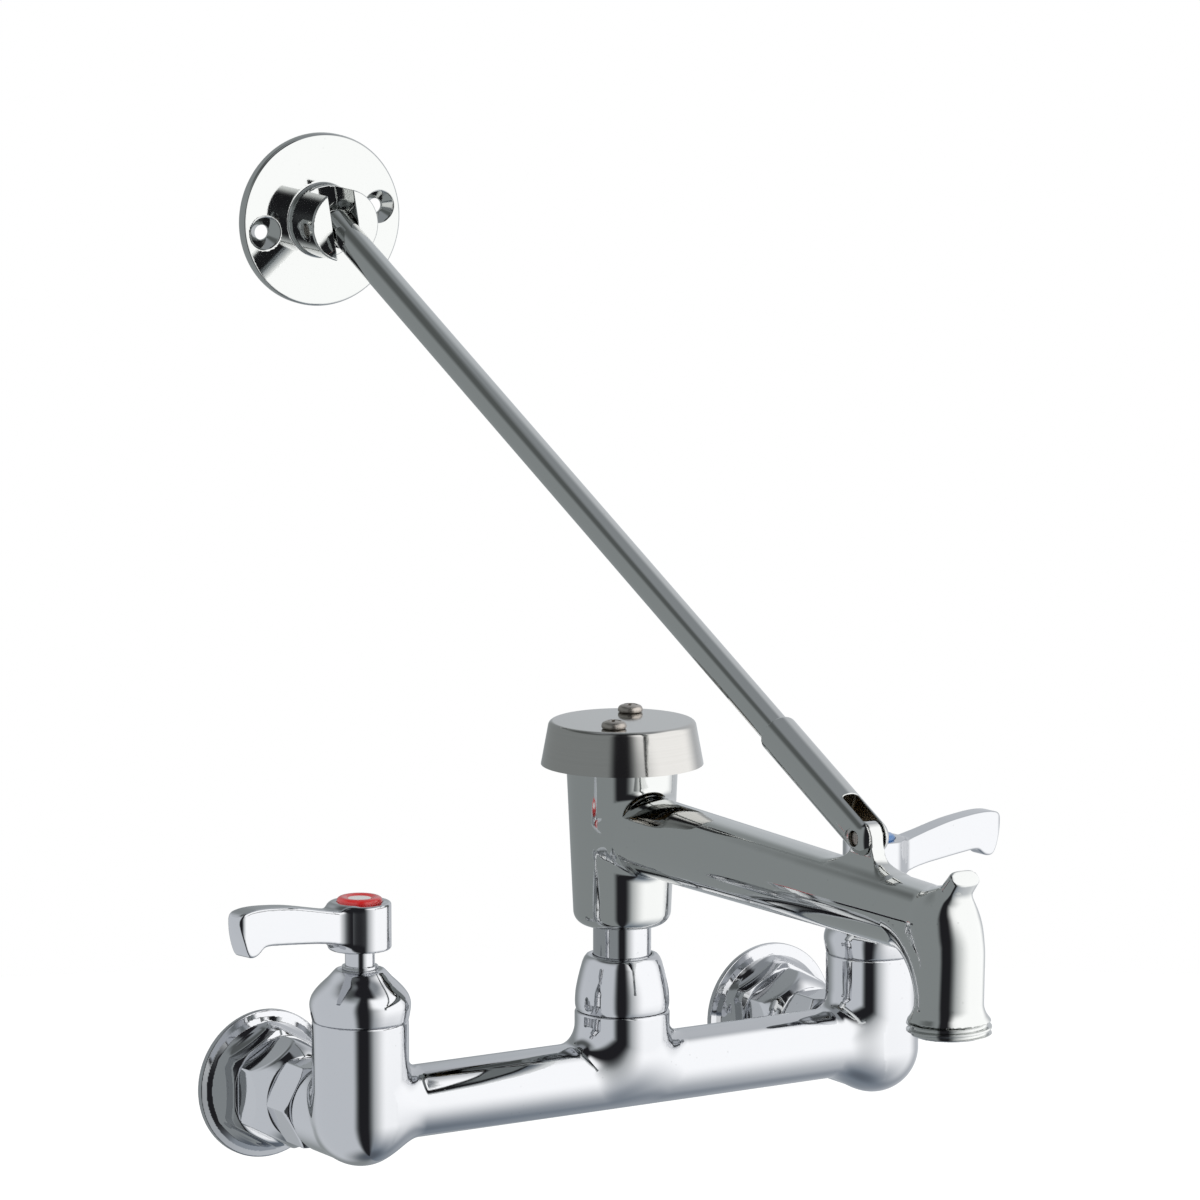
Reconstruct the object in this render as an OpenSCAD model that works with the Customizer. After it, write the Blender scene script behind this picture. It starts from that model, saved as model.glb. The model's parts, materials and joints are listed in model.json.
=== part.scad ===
// Wall-mounted service faucet with two lever valves, a vacuum breaker and an upper brace.
// Frame: X runs along the wall, +Y points into the wall, +Z points up. The origin lies on
// the wall plane, midway between the two inlets. Hot is at -X, cold at +X.

/* [Layout] */
// Distance between the centres of the two inlets
inlet_centres = 203.2; // [180:0.1:230]
// Distance from the wall to the axes of the valves and of the spout post
wall_reach = 65.6; // [63:0.1:80]
// Height of the cross bar's axis above the inlets' axis
bar_rise = 4; // [3:0.1:5]
// Height of the spout arm's axis above the inlets' axis
arm_rise = 87.8; // [84:0.1:110]
// Distance from the post's axis to the outlet's axis
spout_reach = 191.9; // [180:0.1:260]
// Distance from the post's axis to the brace's lower pivot
pivot_reach = 146.4; // [140:0.1:155]
// Distance between the brace's two pivots
brace_len = 374; // [250:1:450]
// Angle of the brace above the horizontal
brace_angle = 26.2; // [20:0.1:60]
// Turn of the rod in its sleeve, with the wall flange on its end
rod_turn = -10.5; // [-45:0.5:45]

/* [Body] */
// Radius of a valve barrel
barrel_r = 16; // [15.5:0.1:18]
// Height of a valve barrel's top face above the inlets' axis
barrel_top = 34; // [33:0.1:38]
// Depth of a valve barrel's round bottom below the inlets' axis
barrel_low = 15; // [14:0.1:17]
// Radius of the cross bar
bar_r = 12; // [11:0.1:13.5]
// Radius of the spout post
post_r = 16; // [15.5:0.1:18]
// Height of the spout post's top face above the inlets' axis
post_top = 25.7; // [24:0.1:28]
// Radius of the post's threaded neck
neck_r = 12.4; // [12:0.1:13]
// Height of the post's threaded neck
neck_h = 10.3; // [9:0.1:12]
// Radius of the bore that the spout turns in
post_bore_r = 9; // [8.5:0.05:9.3]
// Radius of the waterway along the bar
bar_way_r = 5; // [4:0.1:6]
// Radius of the boss behind each barrel
boss_r = 14.8; // [13:0.1:15.2]
// Radius of the inlet shank
shank_r = 9; // [8.8:0.1:9.4]
// Radius of the waterway in the inlet shank
shank_way_r = 6; // [5:0.1:6.5]
// Radius of the channel under each valve seat
channel_r = 4.5; // [3.5:0.1:4.8]
// Depth of that channel's axis below the inlets' axis
channel_drop = 5; // [4.5:0.1:5.5]
// Thickness of the floor between the channel and the valve chamber
floor_wall = 3.5; // [2.5:0.1:4.5]
// Radius of the valve chamber
chamber_r = 10.5; // [10:0.1:11]
// Radius of the bonnet's thread in the barrel
bonnet_thread_r = 13; // [12.5:0.1:13.5]
// Depth of that thread
bonnet_thread_h = 12; // [11:0.1:13]

/* [Inlets] */
// Radius of the disc that covers the hole in the wall
wall_disc_r = 25.3; // [24:0.1:32]
// Thickness of that disc at its rim
wall_disc_rim = 1.8; // [1.2:0.1:2.4]
// Width across the flats of the disc's hexagon
disc_hex = 36.4; // [35:0.1:38]
// Distance from the wall to the front of that hexagon
disc_hex_end = 12.4; // [11:0.1:14]
// Width across the flats of the inlet fitting's hexagon
fitting_hex = 32.7; // [31.5:0.1:34]
// Distance from the wall to the front of the fitting's hexagon
fitting_hex_end = 28; // [26:0.1:30]
// Length of the inlet fitting from the wall to its tip
fitting_len = 36; // [34.5:0.1:37.5]
// Radius of the fitting's thread inside the disc's hexagon
disc_thread_r = 13.9; // [13.4:0.1:14.4]
// Radius of the supply pipe's thread at its pitch line
supply_thread_r = 9.886; // [9.4:0.001:10.4]
// Depth of the supply pipe's thread
supply_thread_h = 19; // [15:0.5:22]
// Radius of the waterway in the inlet fitting
fitting_way_r = 7; // [6:0.1:7.6]
// Radius of the coupling nut's thread
union_thread_r = 11.4; // [11.2:0.05:11.8]
// Width across the flats of the coupling nut
union_hex = 27.4; // [26.8:0.1:30]
// Thickness of the coupling nut's inner lip
union_lip = 1.6; // [1:0.1:1.8]
// Thickness of the sealing washer in the coupling nut
union_washer_h = 2; // [1.5:0.1:2.5]
// Thickness of the split ring that holds the coupling nut
split_ring_h = 1.4; // [1:0.1:1.6]

/* [Valves] */
// Height of the bonnet above the barrel
bonnet_h = 17; // [16:0.1:20]
// Largest radius of the bonnet
bonnet_r = 16.7; // [16.2:0.1:18]
// Radius of the cartridge's shell
shell_r = 9.4; // [9:0.1:9.8]
// Radius of the bore around the ceramic discs
shell_bore_r = 7.9; // [7.5:0.1:8.3]
// Radius of the shell's flange
shell_flange_r = 12.5; // [12:0.1:12.8]
// Thickness of the shell's flange
shell_flange_h = 2; // [1.5:0.1:3]
// Radius of the cartridge's neck in the bonnet
shell_neck_r = 5.9; // [5.7:0.05:6.1]
// Thickness of the rubber seat seal
seat_seal_h = 2; // [1.5:0.1:2.5]
// Thickness of each ceramic disc
disc_h = 3; // [2.5:0.1:3.2]
// Height of the side windows in the cartridge's shell
window_h = 6; // [4:0.1:6.5]
// Radius of the valve stem
stem_r = 4.9; // [4.6:0.05:5.1]
// Length of stem that shows between the bonnet and the lever
stem_show = 6.8; // [5:0.1:9]

/* [Levers] */
// Radius of the lever's hub
hub_r = 10.4; // [10:0.1:12]
// Height of the lever's hub
hub_h = 15.6; // [14.5:0.1:18]
// Distance from the stem's axis to the lever's tip
lever_reach = 55.6; // [45:0.1:70]
// Height of the lever's blade at its highest point above the hub's bottom
blade_rise = 20.2; // [19:0.1:24]
// Width of the lever's blade beside its hub
blade_w = 10.4; // [8:0.1:13]
// Turn of the hot lever at rest, away from the wall
hot_lever_turn = 12; // [0:0.5:15]
// Turn of the cold lever at rest, towards the wall
cold_lever_turn = 5; // [0:0.5:15]
// Radius of the coloured index button
index_r = 7.6; // [6.5:0.1:8]
// Depth of the index button in the hub
index_h = 1.6; // [1.2:0.1:2]
// Height of the index button above the hub
index_rise = 2.3; // [1:0.1:3]

/* [Spout] */
// Radius of the spout's riser tube
riser_r = 9.75; // [9.6:0.05:10]
// Radius of the water passage in the riser tube
riser_bore_r = 6.5; // [6:0.1:6.8]
// Length of the riser's tail in the post
riser_tail = 24; // [20:0.1:25]
// Depth of the riser in the spout casting
riser_entry = 20; // [15:0.1:21]
// Height of the collar nut that holds the spout
collar_h = 18.9; // [18:0.1:21]
// Largest radius of the collar nut
collar_r = 15.9; // [15.3:0.1:17]
// Radius of the spout's upright body at its rim
upright_r = 18.8; // [18.6:0.1:20]
// Radius of the spout's upright body near its bottom
upright_low_r = 16.4; // [15.5:0.1:18]
// Depth of the upright body's bottom below the arm's axis
upright_drop = 32.8; // [30:0.1:35]
// Height of the upright body's rim above the arm's axis
upright_rise = 24.2; // [23:0.1:28]
// Radius of the arm at the post's axis
arm_r = 13.6; // [12.5:0.1:15]
// Radius of the arm at the elbow
arm_tip_r = 11.2; // [10.5:0.1:12.5]
// Distance from the outlet's axis back to the arm's round end
elbow_back = 6; // [4:0.1:8]
// Radius of the waterway in the arm
arm_way_r = 7; // [6:0.1:7.4]
// Radius of the outlet's neck
outlet_neck_r = 10.4; // [10:0.1:11]
// Radius of the hose thread at its crests
hose_thread_r = 13.46; // [13:0.01:14]
// Length of the hose thread
hose_thread_h = 4.6; // [4:0.1:9]
// Depth of the outlet's lower face below the arm's axis
outlet_drop = 34.4; // [32:0.1:50]
// Radius of the outlet's mouth
outlet_way_r = 8.5; // [7.5:0.1:9]
// Length of the pail hook's horn from the arm's axis
horn_len = 21.6; // [19:0.1:24]
// Lean of the horn away from the post
horn_lean = 38; // [20:1:45]
// Width of the horn
horn_w = 10.5; // [9:0.1:13]
// Thickness of the horn
horn_t = 6.4; // [5:0.1:7]

/* [Vacuum breaker] */
// Radius of the chamber in the upright body
float_chamber_r = 13.2; // [12.8:0.1:13.6]
// Radius of the opening that the float rests on
seat_way_r = 7; // [6:0.1:7.5]
// Thickness of the seat between the riser and the chamber
seat_h = 5; // [4:0.1:6]
// Thickness of the gasket under the vent plate
vent_gasket_h = 1; // [0.8:0.1:1.4]
// Thickness of the vent plate
vent_plate_h = 2.5; // [2:0.1:3]
// Depth of the air seat below the vent plate's underside
air_seat_drop = 5; // [4:0.1:6]
// Travel of the float from its lower seat to the air seat
float_travel = 5; // [4:0.1:6]
// Radius of the cap at its lower edge
cap_r = 27.2; // [26.5:0.1:30]
// Radius of the cap below its rounded top edge
cap_top_r = 24.5; // [24:0.1:26]
// Height of the cap
cap_h = 14.6; // [14:0.1:16]
// Thickness of the cap's sheet
cap_wall = 1.6; // [1.2:0.1:2]
// Height of the cap's lower edge below the upright body's rim
cap_lap = 2.4; // [1:0.1:4]
// Distance of the cap's screws from the post's axis
cap_screw_reach = 16; // [15.7:0.1:16.2]
// Radius of the cap's screws
cap_screw_r = 1.95; // [1.8:0.05:2]

/* [Brace] */
// Radius of the brace's rod
rod_r = 5.15; // [5:0.05:5.6]
// Radius of the sleeve at the brace's lower end
sleeve_r = 6.55; // [6.4:0.05:7.5]
// Length of the sleeve from the lower pivot
sleeve_len = 58; // [50:0.5:80]
// Distance from the lower pivot to the slot's end
fork_depth = 14.7; // [13:0.1:18]
// Thickness of the lug on the spout's arm
lug_t = 5.2; // [4.5:0.1:6]
// Radius of the lug's rounded top
lug_r = 5.3; // [5:0.1:6]
// Height of the lower pivot above the arm's axis
pivot_rise = 20.9; // [20.5:0.1:24]
// Radius of both pivot pins
pin_r = 2.4; // [2:0.05:2.6]
// Thickness of the rod's flattened upper end
tongue_t = 9.2; // [7:0.1:9.8]
// Length of the flattened end below the upper pivot
tongue_len = 14; // [12.5:0.1:25]
// Radius of the brace's wall flange
brace_disc_r = 30.8; // [29:0.1:38]
// Thickness of the brace's wall flange
brace_disc_h = 4.5; // [4:0.1:6]
// Radius of the boss on the wall flange
brace_boss_r = 12.9; // [12:0.1:14]
// Distance that the boss stands out of the wall flange
brace_boss_h = 19.4; // [18:0.1:24]
// Distance from the wall flange's front face to the upper pivot
brace_pin_stand = 12.4; // [11:0.1:13]
// Distance between the wall flange's two screw holes
brace_hole_span = 45; // [42:0.1:46]
// Radius of the wall flange's screw holes
brace_hole_r = 2.65; // [2.2:0.05:3]
// Radius of the countersinks
brace_sink_r = 5.9; // [5:0.1:6.1]

/* [Hidden] */
$fn = 96;

// Extra length of every cut past the face that it opens
over = 1;
// Radial clearance of threads and of pins in one assembly
thread_fit = 0.05;
// Radial clearance of shafts that turn or slide
run_fit = 0.05;
// Gap between faces that turn past each other
face_gap = 0.3;

// Places that follow from the sizes above
inlet_x = inlet_centres / 2;
dome_z = barrel_r - barrel_low;
chamber_floor = channel_r + floor_wall - channel_drop;
ledge_z = barrel_top - bonnet_thread_h;
bonnet_top = barrel_top + bonnet_h;
hub_z = bonnet_top + stem_show;
neck_top = post_top + neck_h;
upright_low = arm_rise - upright_drop;
rim_z = arm_rise + upright_rise;
shank_end = fitting_len + union_washer_h;
seat_low = upright_low + riser_entry;
seat_top = seat_low + seat_h;

// Heights of the parts stacked in a cartridge
fixed_disc_z = chamber_floor + seat_seal_h;
turning_disc_z = fixed_disc_z + disc_h + run_fit;
foot_z = turning_disc_z + disc_h;
foot_h = 2;
guide_z = foot_z + foot_h + window_h;
// Height of the shell's shoulder above the barrel
shoulder_rise = 6;
shoulder_z = barrel_top + shoulder_rise;
// Height of the cartridge's neck above the bonnet
neck_show = 1.2;

// Places the children at both inlets: as drawn on the hot side, mirrored on the cold side
module both_sides() {
  hot_side() children();
  cold_side() children();
}

// Places the children on the hot valve's axis
module hot_side() {
  translate([-inlet_x, -wall_reach, 0]) mirror([1, 0, 0]) children();
}

// Places the children on the cold valve's axis
module cold_side() {
  translate([inlet_x, -wall_reach, 0]) children();
}

// Turns the children from up to straight out of the wall, starting at the wall
module out_of_wall() {
  translate([0, wall_reach, 0]) rotate([90, 0, 0]) children();
}

// Places the children on the post's axis
module at_post() {
  translate([0, -wall_reach, 0]) children();
}

// Places the children on the arm's axis, running away from the wall
module along_arm() {
  translate([0, -wall_reach, arm_rise]) rotate([90, 0, 0]) children();
}

// Places the children on the outlet's axis at the arm's height
module at_elbow() {
  translate([0, -wall_reach - spout_reach, arm_rise]) children();
}

// Places the children at the brace's lower pivot, with +Y along the rod
module along_brace() {
  translate([0, -wall_reach - pivot_reach, arm_rise + pivot_rise])
    rotate([brace_angle, 0, 0]) children();
}

// Places the children at the brace's upper pivot, turned with the rod
module at_rod_end() {
  along_brace() rotate([0, rod_turn, 0]) translate([0, brace_len, 0]) children();
}

// Angle that brings the wall flange as near to the wall's plane as the turned rod allows
flange_tilt = acos(cos(brace_angle) / sqrt(1 - pow(sin(rod_turn) * sin(brace_angle), 2)));

// Places the children at the upper pivot, with +Y out of the wall flange's back
module at_flange() {
  at_rod_end() rotate([-flange_tilt, 0, 0]) children();
}

// Ring of two radii and a height
module ring(outer, inner, height) {
  difference() {
    cylinder(h = height, r = outer);
    translate([0, 0, -over]) cylinder(h = height + 2 * over, r = inner);
  }
}

// Hexagonal prism, with two flats square to X, whose corners are turned down
module hex_prism(flats, height, corner_share) {
  corner_r = flats / 2 / cos(30);
  intersection() {
    rotate([0, 0, 30]) cylinder(h = height, r = corner_r, $fn = 6);
    cylinder(h = height, r = flats / 2 + (corner_r - flats / 2) * corner_share);
  }
}

// The body casting
// Radius of the fillet where the bar meets the barrels
cast_fillet = 5;
// Height of the post's round bottom above the bar's lowest line
post_ball_inset = 1;
post_ball_z = bar_rise + post_r - bar_r + post_ball_inset;

module barrel_solid() {
  translate([0, 0, dome_z]) cylinder(h = barrel_top - dome_z, r = barrel_r);
  translate([0, 0, dome_z]) sphere(r = barrel_r);
  // Boss and shank towards the wall
  out_of_wall() {
    translate([0, 0, shank_end]) cylinder(h = wall_reach - shank_end, r = shank_r);
    translate([0, 0, boss_face]) cylinder(h = wall_reach - boss_face, r = boss_r);
  }
  // Tapered end of the bar
  translate([-barrel_r - cast_fillet, 0, bar_rise]) rotate([0, 90, 0])
    cylinder(h = 2 * cast_fillet, r1 = bar_r, r2 = bar_r + cast_fillet / 2);
}

// Distance from the wall to the face of the boss, clear of the coupling nut
nut_to_boss = 2.1;
ring_z = shank_end + split_ring_h;
union_front = ring_z + split_ring_h + union_lip;
boss_face = union_front + nut_to_boss;
ring_groove = 0.8;

module barrel_cuts() {
  // Chamber, thread and port under the seat
  translate([0, 0, chamber_floor]) cylinder(h = barrel_top, r = chamber_r);
  translate([0, 0, ledge_z]) cylinder(h = bonnet_thread_h + over, r = bonnet_thread_r);
  translate([0, 0, -channel_drop]) cylinder(h = channel_drop + chamber_floor + over,
    r = channel_r);
  out_of_wall() {
    // Waterway in the shank, and the lower channel from it to the port
    translate([0, 0, shank_end - over])
      cylinder(h = wall_reach - barrel_r - shank_end + over, r = shank_way_r);
    translate([0, -channel_drop, wall_reach - barrel_r - shank_way_r])
      cylinder(h = barrel_r + shank_way_r, r = channel_r);
    // Groove of the split ring
    translate([0, 0, ring_z]) ring(shank_r + over, shank_r - ring_groove, split_ring_h);
  }
}

module body_casting() color("silver") difference() {
  union() {
    both_sides() barrel_solid();
    translate([-inlet_x, -wall_reach, bar_rise]) rotate([0, 90, 0])
      cylinder(h = inlet_centres, r = bar_r);
    at_post() {
      translate([0, 0, post_ball_z]) cylinder(h = post_top - post_ball_z, r = post_r);
      translate([0, 0, post_ball_z]) sphere(r = post_r);
      translate([0, 0, post_top]) cylinder(h = neck_h, r = neck_r);
    }
  }
  both_sides() barrel_cuts();
  translate([-inlet_x, -wall_reach, bar_way_z]) rotate([0, 90, 0])
    cylinder(h = inlet_centres, r = bar_way_r);
  at_post() translate([0, 0, bar_way_z]) cylinder(h = neck_top, r = post_bore_r);
}
// The bar's waterway lies above the bar's axis, clear of the seats
bar_way_z = chamber_floor + bar_way_r;

// The inlets
// Outline of the wall disc's front, as shares of its radius and of the hexagon's length
disc_front_share = [[0.905, 0.2], [0.81, 0.29], [0.735, 0.5]];
// How much of a hexagon's corner is left after turning
corner_left_share = 0.72;

module wall_disc() color("silver") out_of_wall() difference() {
  union() {
    rotate_extrude() polygon(concat(
      [[0, 0], [wall_disc_r, 0], [wall_disc_r, wall_disc_rim]],
      [for (p = disc_front_share) [wall_disc_r * p[0], disc_hex_end * p[1]]],
      [[0, disc_hex_end * disc_front_share[2][1]]]));
    hex_prism(disc_hex, disc_hex_end, corner_left_share);
  }
  translate([0, 0, -over])
    cylinder(h = disc_hex_end + 2 * over, r = disc_thread_r + thread_fit);
}

// Length of the fitting hexagon's turned front
fitting_nose = 3.4;

module fitting() color("gainsboro") out_of_wall() difference() {
  union() {
    cylinder(h = fitting_len, r = union_thread_r);
    cylinder(h = disc_hex_end, r = disc_thread_r);
    intersection() {
      translate([0, 0, disc_hex_end])
        hex_prism(fitting_hex, fitting_hex_end - disc_hex_end, corner_left_share);
      union() {
        cylinder(h = fitting_hex_end - fitting_nose, r = fitting_hex);
        translate([0, 0, fitting_hex_end - fitting_nose]) cylinder(h = fitting_nose,
          r1 = fitting_hex / 2 + fitting_nose / 2, r2 = union_thread_r + fitting_nose / 2);
      }
    }
  }
  translate([0, 0, -over]) cylinder(h = supply_thread_h + over, r = supply_thread_r);
  cylinder(h = fitting_len + over, r = fitting_way_r);
}

// Gap that shows between the fitting's hexagon and the coupling nut
union_gap = 0.6;

module union_nut() color("silver") out_of_wall() {
  start = fitting_hex_end + union_gap;
  difference() {
    translate([0, 0, start]) rotate([0, 0, 30])
      hex_prism(union_hex, union_front - start, corner_left_share);
    translate([0, 0, start - over])
      cylinder(h = union_front - union_lip - start + over, r = union_thread_r + thread_fit);
    cylinder(h = union_front + over, r = shank_r + thread_fit);
  }
}

module union_washer() color("dimgray") out_of_wall()
  translate([0, 0, fitting_len]) ring(union_thread_r, fitting_way_r, union_washer_h);

module split_ring() color("goldenrod") out_of_wall()
  translate([0, 0, ring_z]) ring(union_thread_r, shank_r - ring_groove, split_ring_h);

// The bonnets and cartridges
// Outline of the bonnet, as shares of its radius and height
bonnet_outline_share = [[0.976, 0], [1, 0.047], [1, 0.294], [0.982, 0.4], [0.922, 0.518],
    [0.79, 0.67], [0.515, 0.953], [0.455, 1]];
// Room between the shell's shoulder and the bonnet's ceiling
ceiling_gap = 1;

module bonnet() color("silver") {
  spigot_low = ledge_z + shell_flange_h;
  difference() {
    union() {
      translate([0, 0, barrel_top]) rotate_extrude() polygon(concat([[0, 0]],
        [for (p = bonnet_outline_share) [bonnet_r * p[0], bonnet_h * p[1]]],
        [[0, bonnet_h]]));
      translate([0, 0, spigot_low])
        cylinder(h = barrel_top - spigot_low, r = bonnet_thread_r - thread_fit);
    }
    translate([0, 0, spigot_low - over])
      cylinder(h = shoulder_z + ceiling_gap - spigot_low + over, r = shell_r + face_gap);
    translate([0, 0, barrel_top])
      cylinder(h = bonnet_h + over, r = shell_neck_r + thread_fit);
  }
}

// Width of a side window as a share of the shell's radius
window_share = 0.9;

module shell() color("goldenrod") difference() {
  union() {
    translate([0, 0, fixed_disc_z]) cylinder(h = shoulder_z - fixed_disc_z, r = shell_r);
    translate([0, 0, ledge_z]) cylinder(h = shell_flange_h, r = shell_flange_r);
    translate([0, 0, shoulder_z])
      cylinder(h = bonnet_top + neck_show - shoulder_z, r = shell_neck_r);
  }
  translate([0, 0, fixed_disc_z - over])
    cylinder(h = guide_z - fixed_disc_z + over, r = shell_bore_r);
  translate([0, 0, guide_z]) cylinder(h = bonnet_top, r = stem_r + run_fit);
  // Two windows that let the water out to the bar
  translate([-shell_r - over, -shell_r * window_share / 2, foot_z + foot_h])
    cube([2 * (shell_r + over), shell_r * window_share, window_h]);
}

// Radius and reach of the ports in the ceramic discs, as shares of the disc's radius
port_share = 0.27;
port_reach_share = 0.5;

module ceramic_disc(radius) difference() {
  cylinder(h = disc_h, r = radius);
  for (side = [-1, 1])
    translate([0, side * radius * port_reach_share, -over])
      cylinder(h = disc_h + 2 * over, r = radius * port_share);
}

module fixed_disc() color("white")
  translate([0, 0, fixed_disc_z]) rotate([0, 0, 90]) ceramic_disc(shell_bore_r - thread_fit);

module turning_disc() color("white")
  translate([0, 0, turning_disc_z]) ceramic_disc(shell_bore_r - run_fit);

// Width of seat left around the port inside the seal
seat_seal_margin = 1;

module seat_seal() color("dimgray")
  translate([0, 0, chamber_floor]) ring(shell_r, channel_r + seat_seal_margin, seat_seal_h);

// The stems and levers
// Depth of the stem in the lever's hub
stem_entry = 8;
// Radius of the screw that holds the lever, and the radius and height of its head
lever_screw_r = 2;
lever_head_r = 3.9;
lever_head_h = 2.6;
// Depth of the screw in the stem
lever_screw_entry = 10;
head_seat = hub_z + hub_h - index_h - lever_head_h - face_gap;
stem_top = hub_z + stem_entry;

module stem() color("goldenrod") difference() {
  union() {
    translate([0, 0, foot_z]) cylinder(h = foot_h, r = shell_bore_r - run_fit);
    translate([0, 0, foot_z]) cylinder(h = stem_top - foot_z, r = stem_r);
  }
  translate([0, 0, stem_top - lever_screw_entry])
    cylinder(h = lever_screw_entry + over, r = lever_screw_r + thread_fit);
}

module lever_screw() color("dimgray") {
  translate([0, 0, head_seat]) cylinder(h = lever_head_h, r = lever_head_r);
  translate([0, 0, stem_top - lever_screw_entry])
    cylinder(h = head_seat - stem_top + lever_screw_entry, r = lever_screw_r);
}

// Outline of the blade from the side, as shares of the lever's reach and the blade's rise
blade_outline_share = [[0, 0.713], [0.144, 0.708], [0.216, 0.718], [0.324, 0.777],
    [0.45, 0.856], [0.576, 0.926], [0.701, 0.97], [0.809, 0.995], [0.9, 0.99], [0.96, 0.95],
    [0.992, 0.88], [1, 0.802], [0.987, 0.673], [0.96, 0.47], [0.935, 0.307], [0.917, 0.243],
    [0.887, 0.218], [0.849, 0.243], [0.82, 0.297], [0.799, 0.342], [0.766, 0.359],
    [0.683, 0.342], [0.504, 0.287], [0.318, 0.223], [0.198, 0.153], [0, 0.08]];
// Outline of the blade from above: shares of the lever's reach and of the blade's half width
blade_plan_share = [[0, 1], [0.16, 1], [0.27, 0.82], [0.4, 0.73], [0.95, 0.73], [0.985, 0.55],
    [1, 0.2], [1, -0.2], [0.985, -0.55], [0.95, -0.73], [0.4, -0.73], [0.27, -0.82],
    [0.16, -1], [0, -1]];

// A lever, turned about its stem from the bar's line
module lever(turn) color("silver") difference() {
  translate([0, 0, hub_z]) rotate([0, 0, turn]) {
    cylinder(h = hub_h, r = hub_r);
    intersection() {
      rotate([90, 0, 0]) linear_extrude(height = blade_w, center = true)
        polygon([for (p = blade_outline_share) [lever_reach * p[0], blade_rise * p[1]]]);
      linear_extrude(height = blade_rise)
        polygon([for (p = blade_plan_share) [lever_reach * p[0], blade_w / 2 * p[1]]]);
    }
  }
  translate([0, 0, hub_z - over]) cylinder(h = stem_entry + over, r = stem_r + thread_fit);
  translate([0, 0, hub_z]) cylinder(h = hub_h, r = lever_screw_r + thread_fit);
  translate([0, 0, head_seat]) cylinder(h = hub_h, r = lever_head_r + thread_fit);
  translate([0, 0, hub_z + hub_h - index_h])
    cylinder(h = index_h + hub_h, r = index_r + thread_fit);
}

// Outline of the button above the hub: a round rim about a lower middle, as shares of the
// button's radius and of its rise
index_outline_share = [[1, 0.35], [0.96, 0.72], [0.88, 0.94], [0.77, 1], [0.62, 0.93],
    [0.5, 0.78], [0, 0.78]];

module index_button(tint) color(tint)
  translate([0, 0, hub_z + hub_h - index_h]) rotate_extrude()
    polygon(concat([[0, 0], [index_r, 0]],
      [for (p = index_outline_share) [index_r * p[0], index_h + index_rise * p[1]]]));

// The riser tube and the collar nut
tail_r = post_bore_r - run_fit;
shoulder_low = neck_top + face_gap;
// Height and gap of the split ring that the collar nut holds down
riser_ring_h = 2;
riser_ring_lift = 1;
riser_ring_z = neck_top + riser_ring_lift;
riser_ring_groove = 0.9;
// Thickness of the riser's rubber rings, and their places as shares of the tail
seal_d = 1.5;
seal_place_share = [0.3, 0.62];

module riser_tube() color("silver") at_post() difference() {
  union() {
    translate([0, 0, shoulder_low]) cylinder(h = seat_low - shoulder_low, r = riser_r);
    translate([0, 0, shoulder_low - riser_tail]) cylinder(h = riser_tail, r = tail_r);
  }
  translate([0, 0, shoulder_low - riser_tail - over])
    cylinder(h = seat_low, r = riser_bore_r);
  translate([0, 0, riser_ring_z]) ring(riser_r + over, riser_r - riser_ring_groove,
    riser_ring_h);
  for (share = seal_place_share)
    translate([0, 0, shoulder_low - riser_tail * share]) rotate_extrude()
      translate([tail_r, 0]) square(2 * seal_d, center = true);
}

module riser_seals() color("dimgray") at_post()
  for (share = seal_place_share)
    translate([0, 0, shoulder_low - riser_tail * share]) rotate_extrude()
      translate([tail_r - seal_d / 2, 0]) circle(d = seal_d);

module riser_ring() color("goldenrod") at_post()
  translate([0, 0, riser_ring_z])
    ring(neck_r - face_gap, riser_r - riser_ring_groove, riser_ring_h);

// Outline of the collar nut, as shares of its radius and height
collar_outline_share = [[0.975, 0], [1, 0.12], [1, 0.28], [0.93, 0.6], [0.85, 0.868],
    [0.767, 0.974], [0.692, 1]];

module collar_nut() color("silver") at_post() difference() {
  translate([0, 0, post_top]) rotate_extrude() polygon(concat([[0, 0]],
    [for (p = collar_outline_share) [collar_r * p[0], collar_h * p[1]]], [[0, collar_h]]));
  translate([0, 0, post_top - over])
    cylinder(h = riser_ring_z + riser_ring_h + face_gap - post_top + over,
      r = neck_r + thread_fit);
  translate([0, 0, post_top]) cylinder(h = collar_h + over, r = riser_r + face_gap);
}

// The spout casting
// Radius of the round at the upright body's bottom
upright_round = 4.5;
// Steps of each rounded edge
round_steps = 6;

// Points of a quarter round from straight down to straight out
function quarter(x, z, r) =
  [for (i = [0 : round_steps]) [x + r * sin(90 * i / round_steps),
    z - r * cos(90 * i / round_steps)]];

// Length of the flare above the hose thread
flare_h = 3.4;
// Radius of the round elbow over the outlet, and the height over which the neck narrows to it
elbow_r = 9.4;
neck_taper_h = 9;

// Width of the lug's top as a share of its base
lug_top_share = 0.36;
// Outline of the lug from the side: shares of its base's half length and of its height
lug_outline_share = [[lug_top_share, 0], [0.4, -0.45], [0.62, -0.8], [1, -1], [1, -1.6],
    [-1, -1.6], [-1, -1], [-0.66, -0.74], [-0.42, -0.4], [-lug_top_share, 0]];
lug_base = lug_r / lug_top_share;
lug_h = pivot_rise - arm_tip_r;

module lug() at_pivot() rotate([90, 0, -90]) linear_extrude(height = lug_t, center = true) {
  circle(r = lug_r);
  polygon([for (p = lug_outline_share) [lug_base * p[0], lug_h * p[1]]]);
}

// Places the children at the lug's pivot, with X along the pivot's axis
module at_pivot() {
  translate([0, -wall_reach - pivot_reach, arm_rise + pivot_rise]) children();
}

// Distance behind the outlet's axis at which the horn starts, at the arm's axis
horn_shift = 5;

// Extra lean of the web that thickens the horn's root towards the post
web_lean = 15;
// Depth of the web's end below the horn's end
web_end_drop = 1.5;

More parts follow.
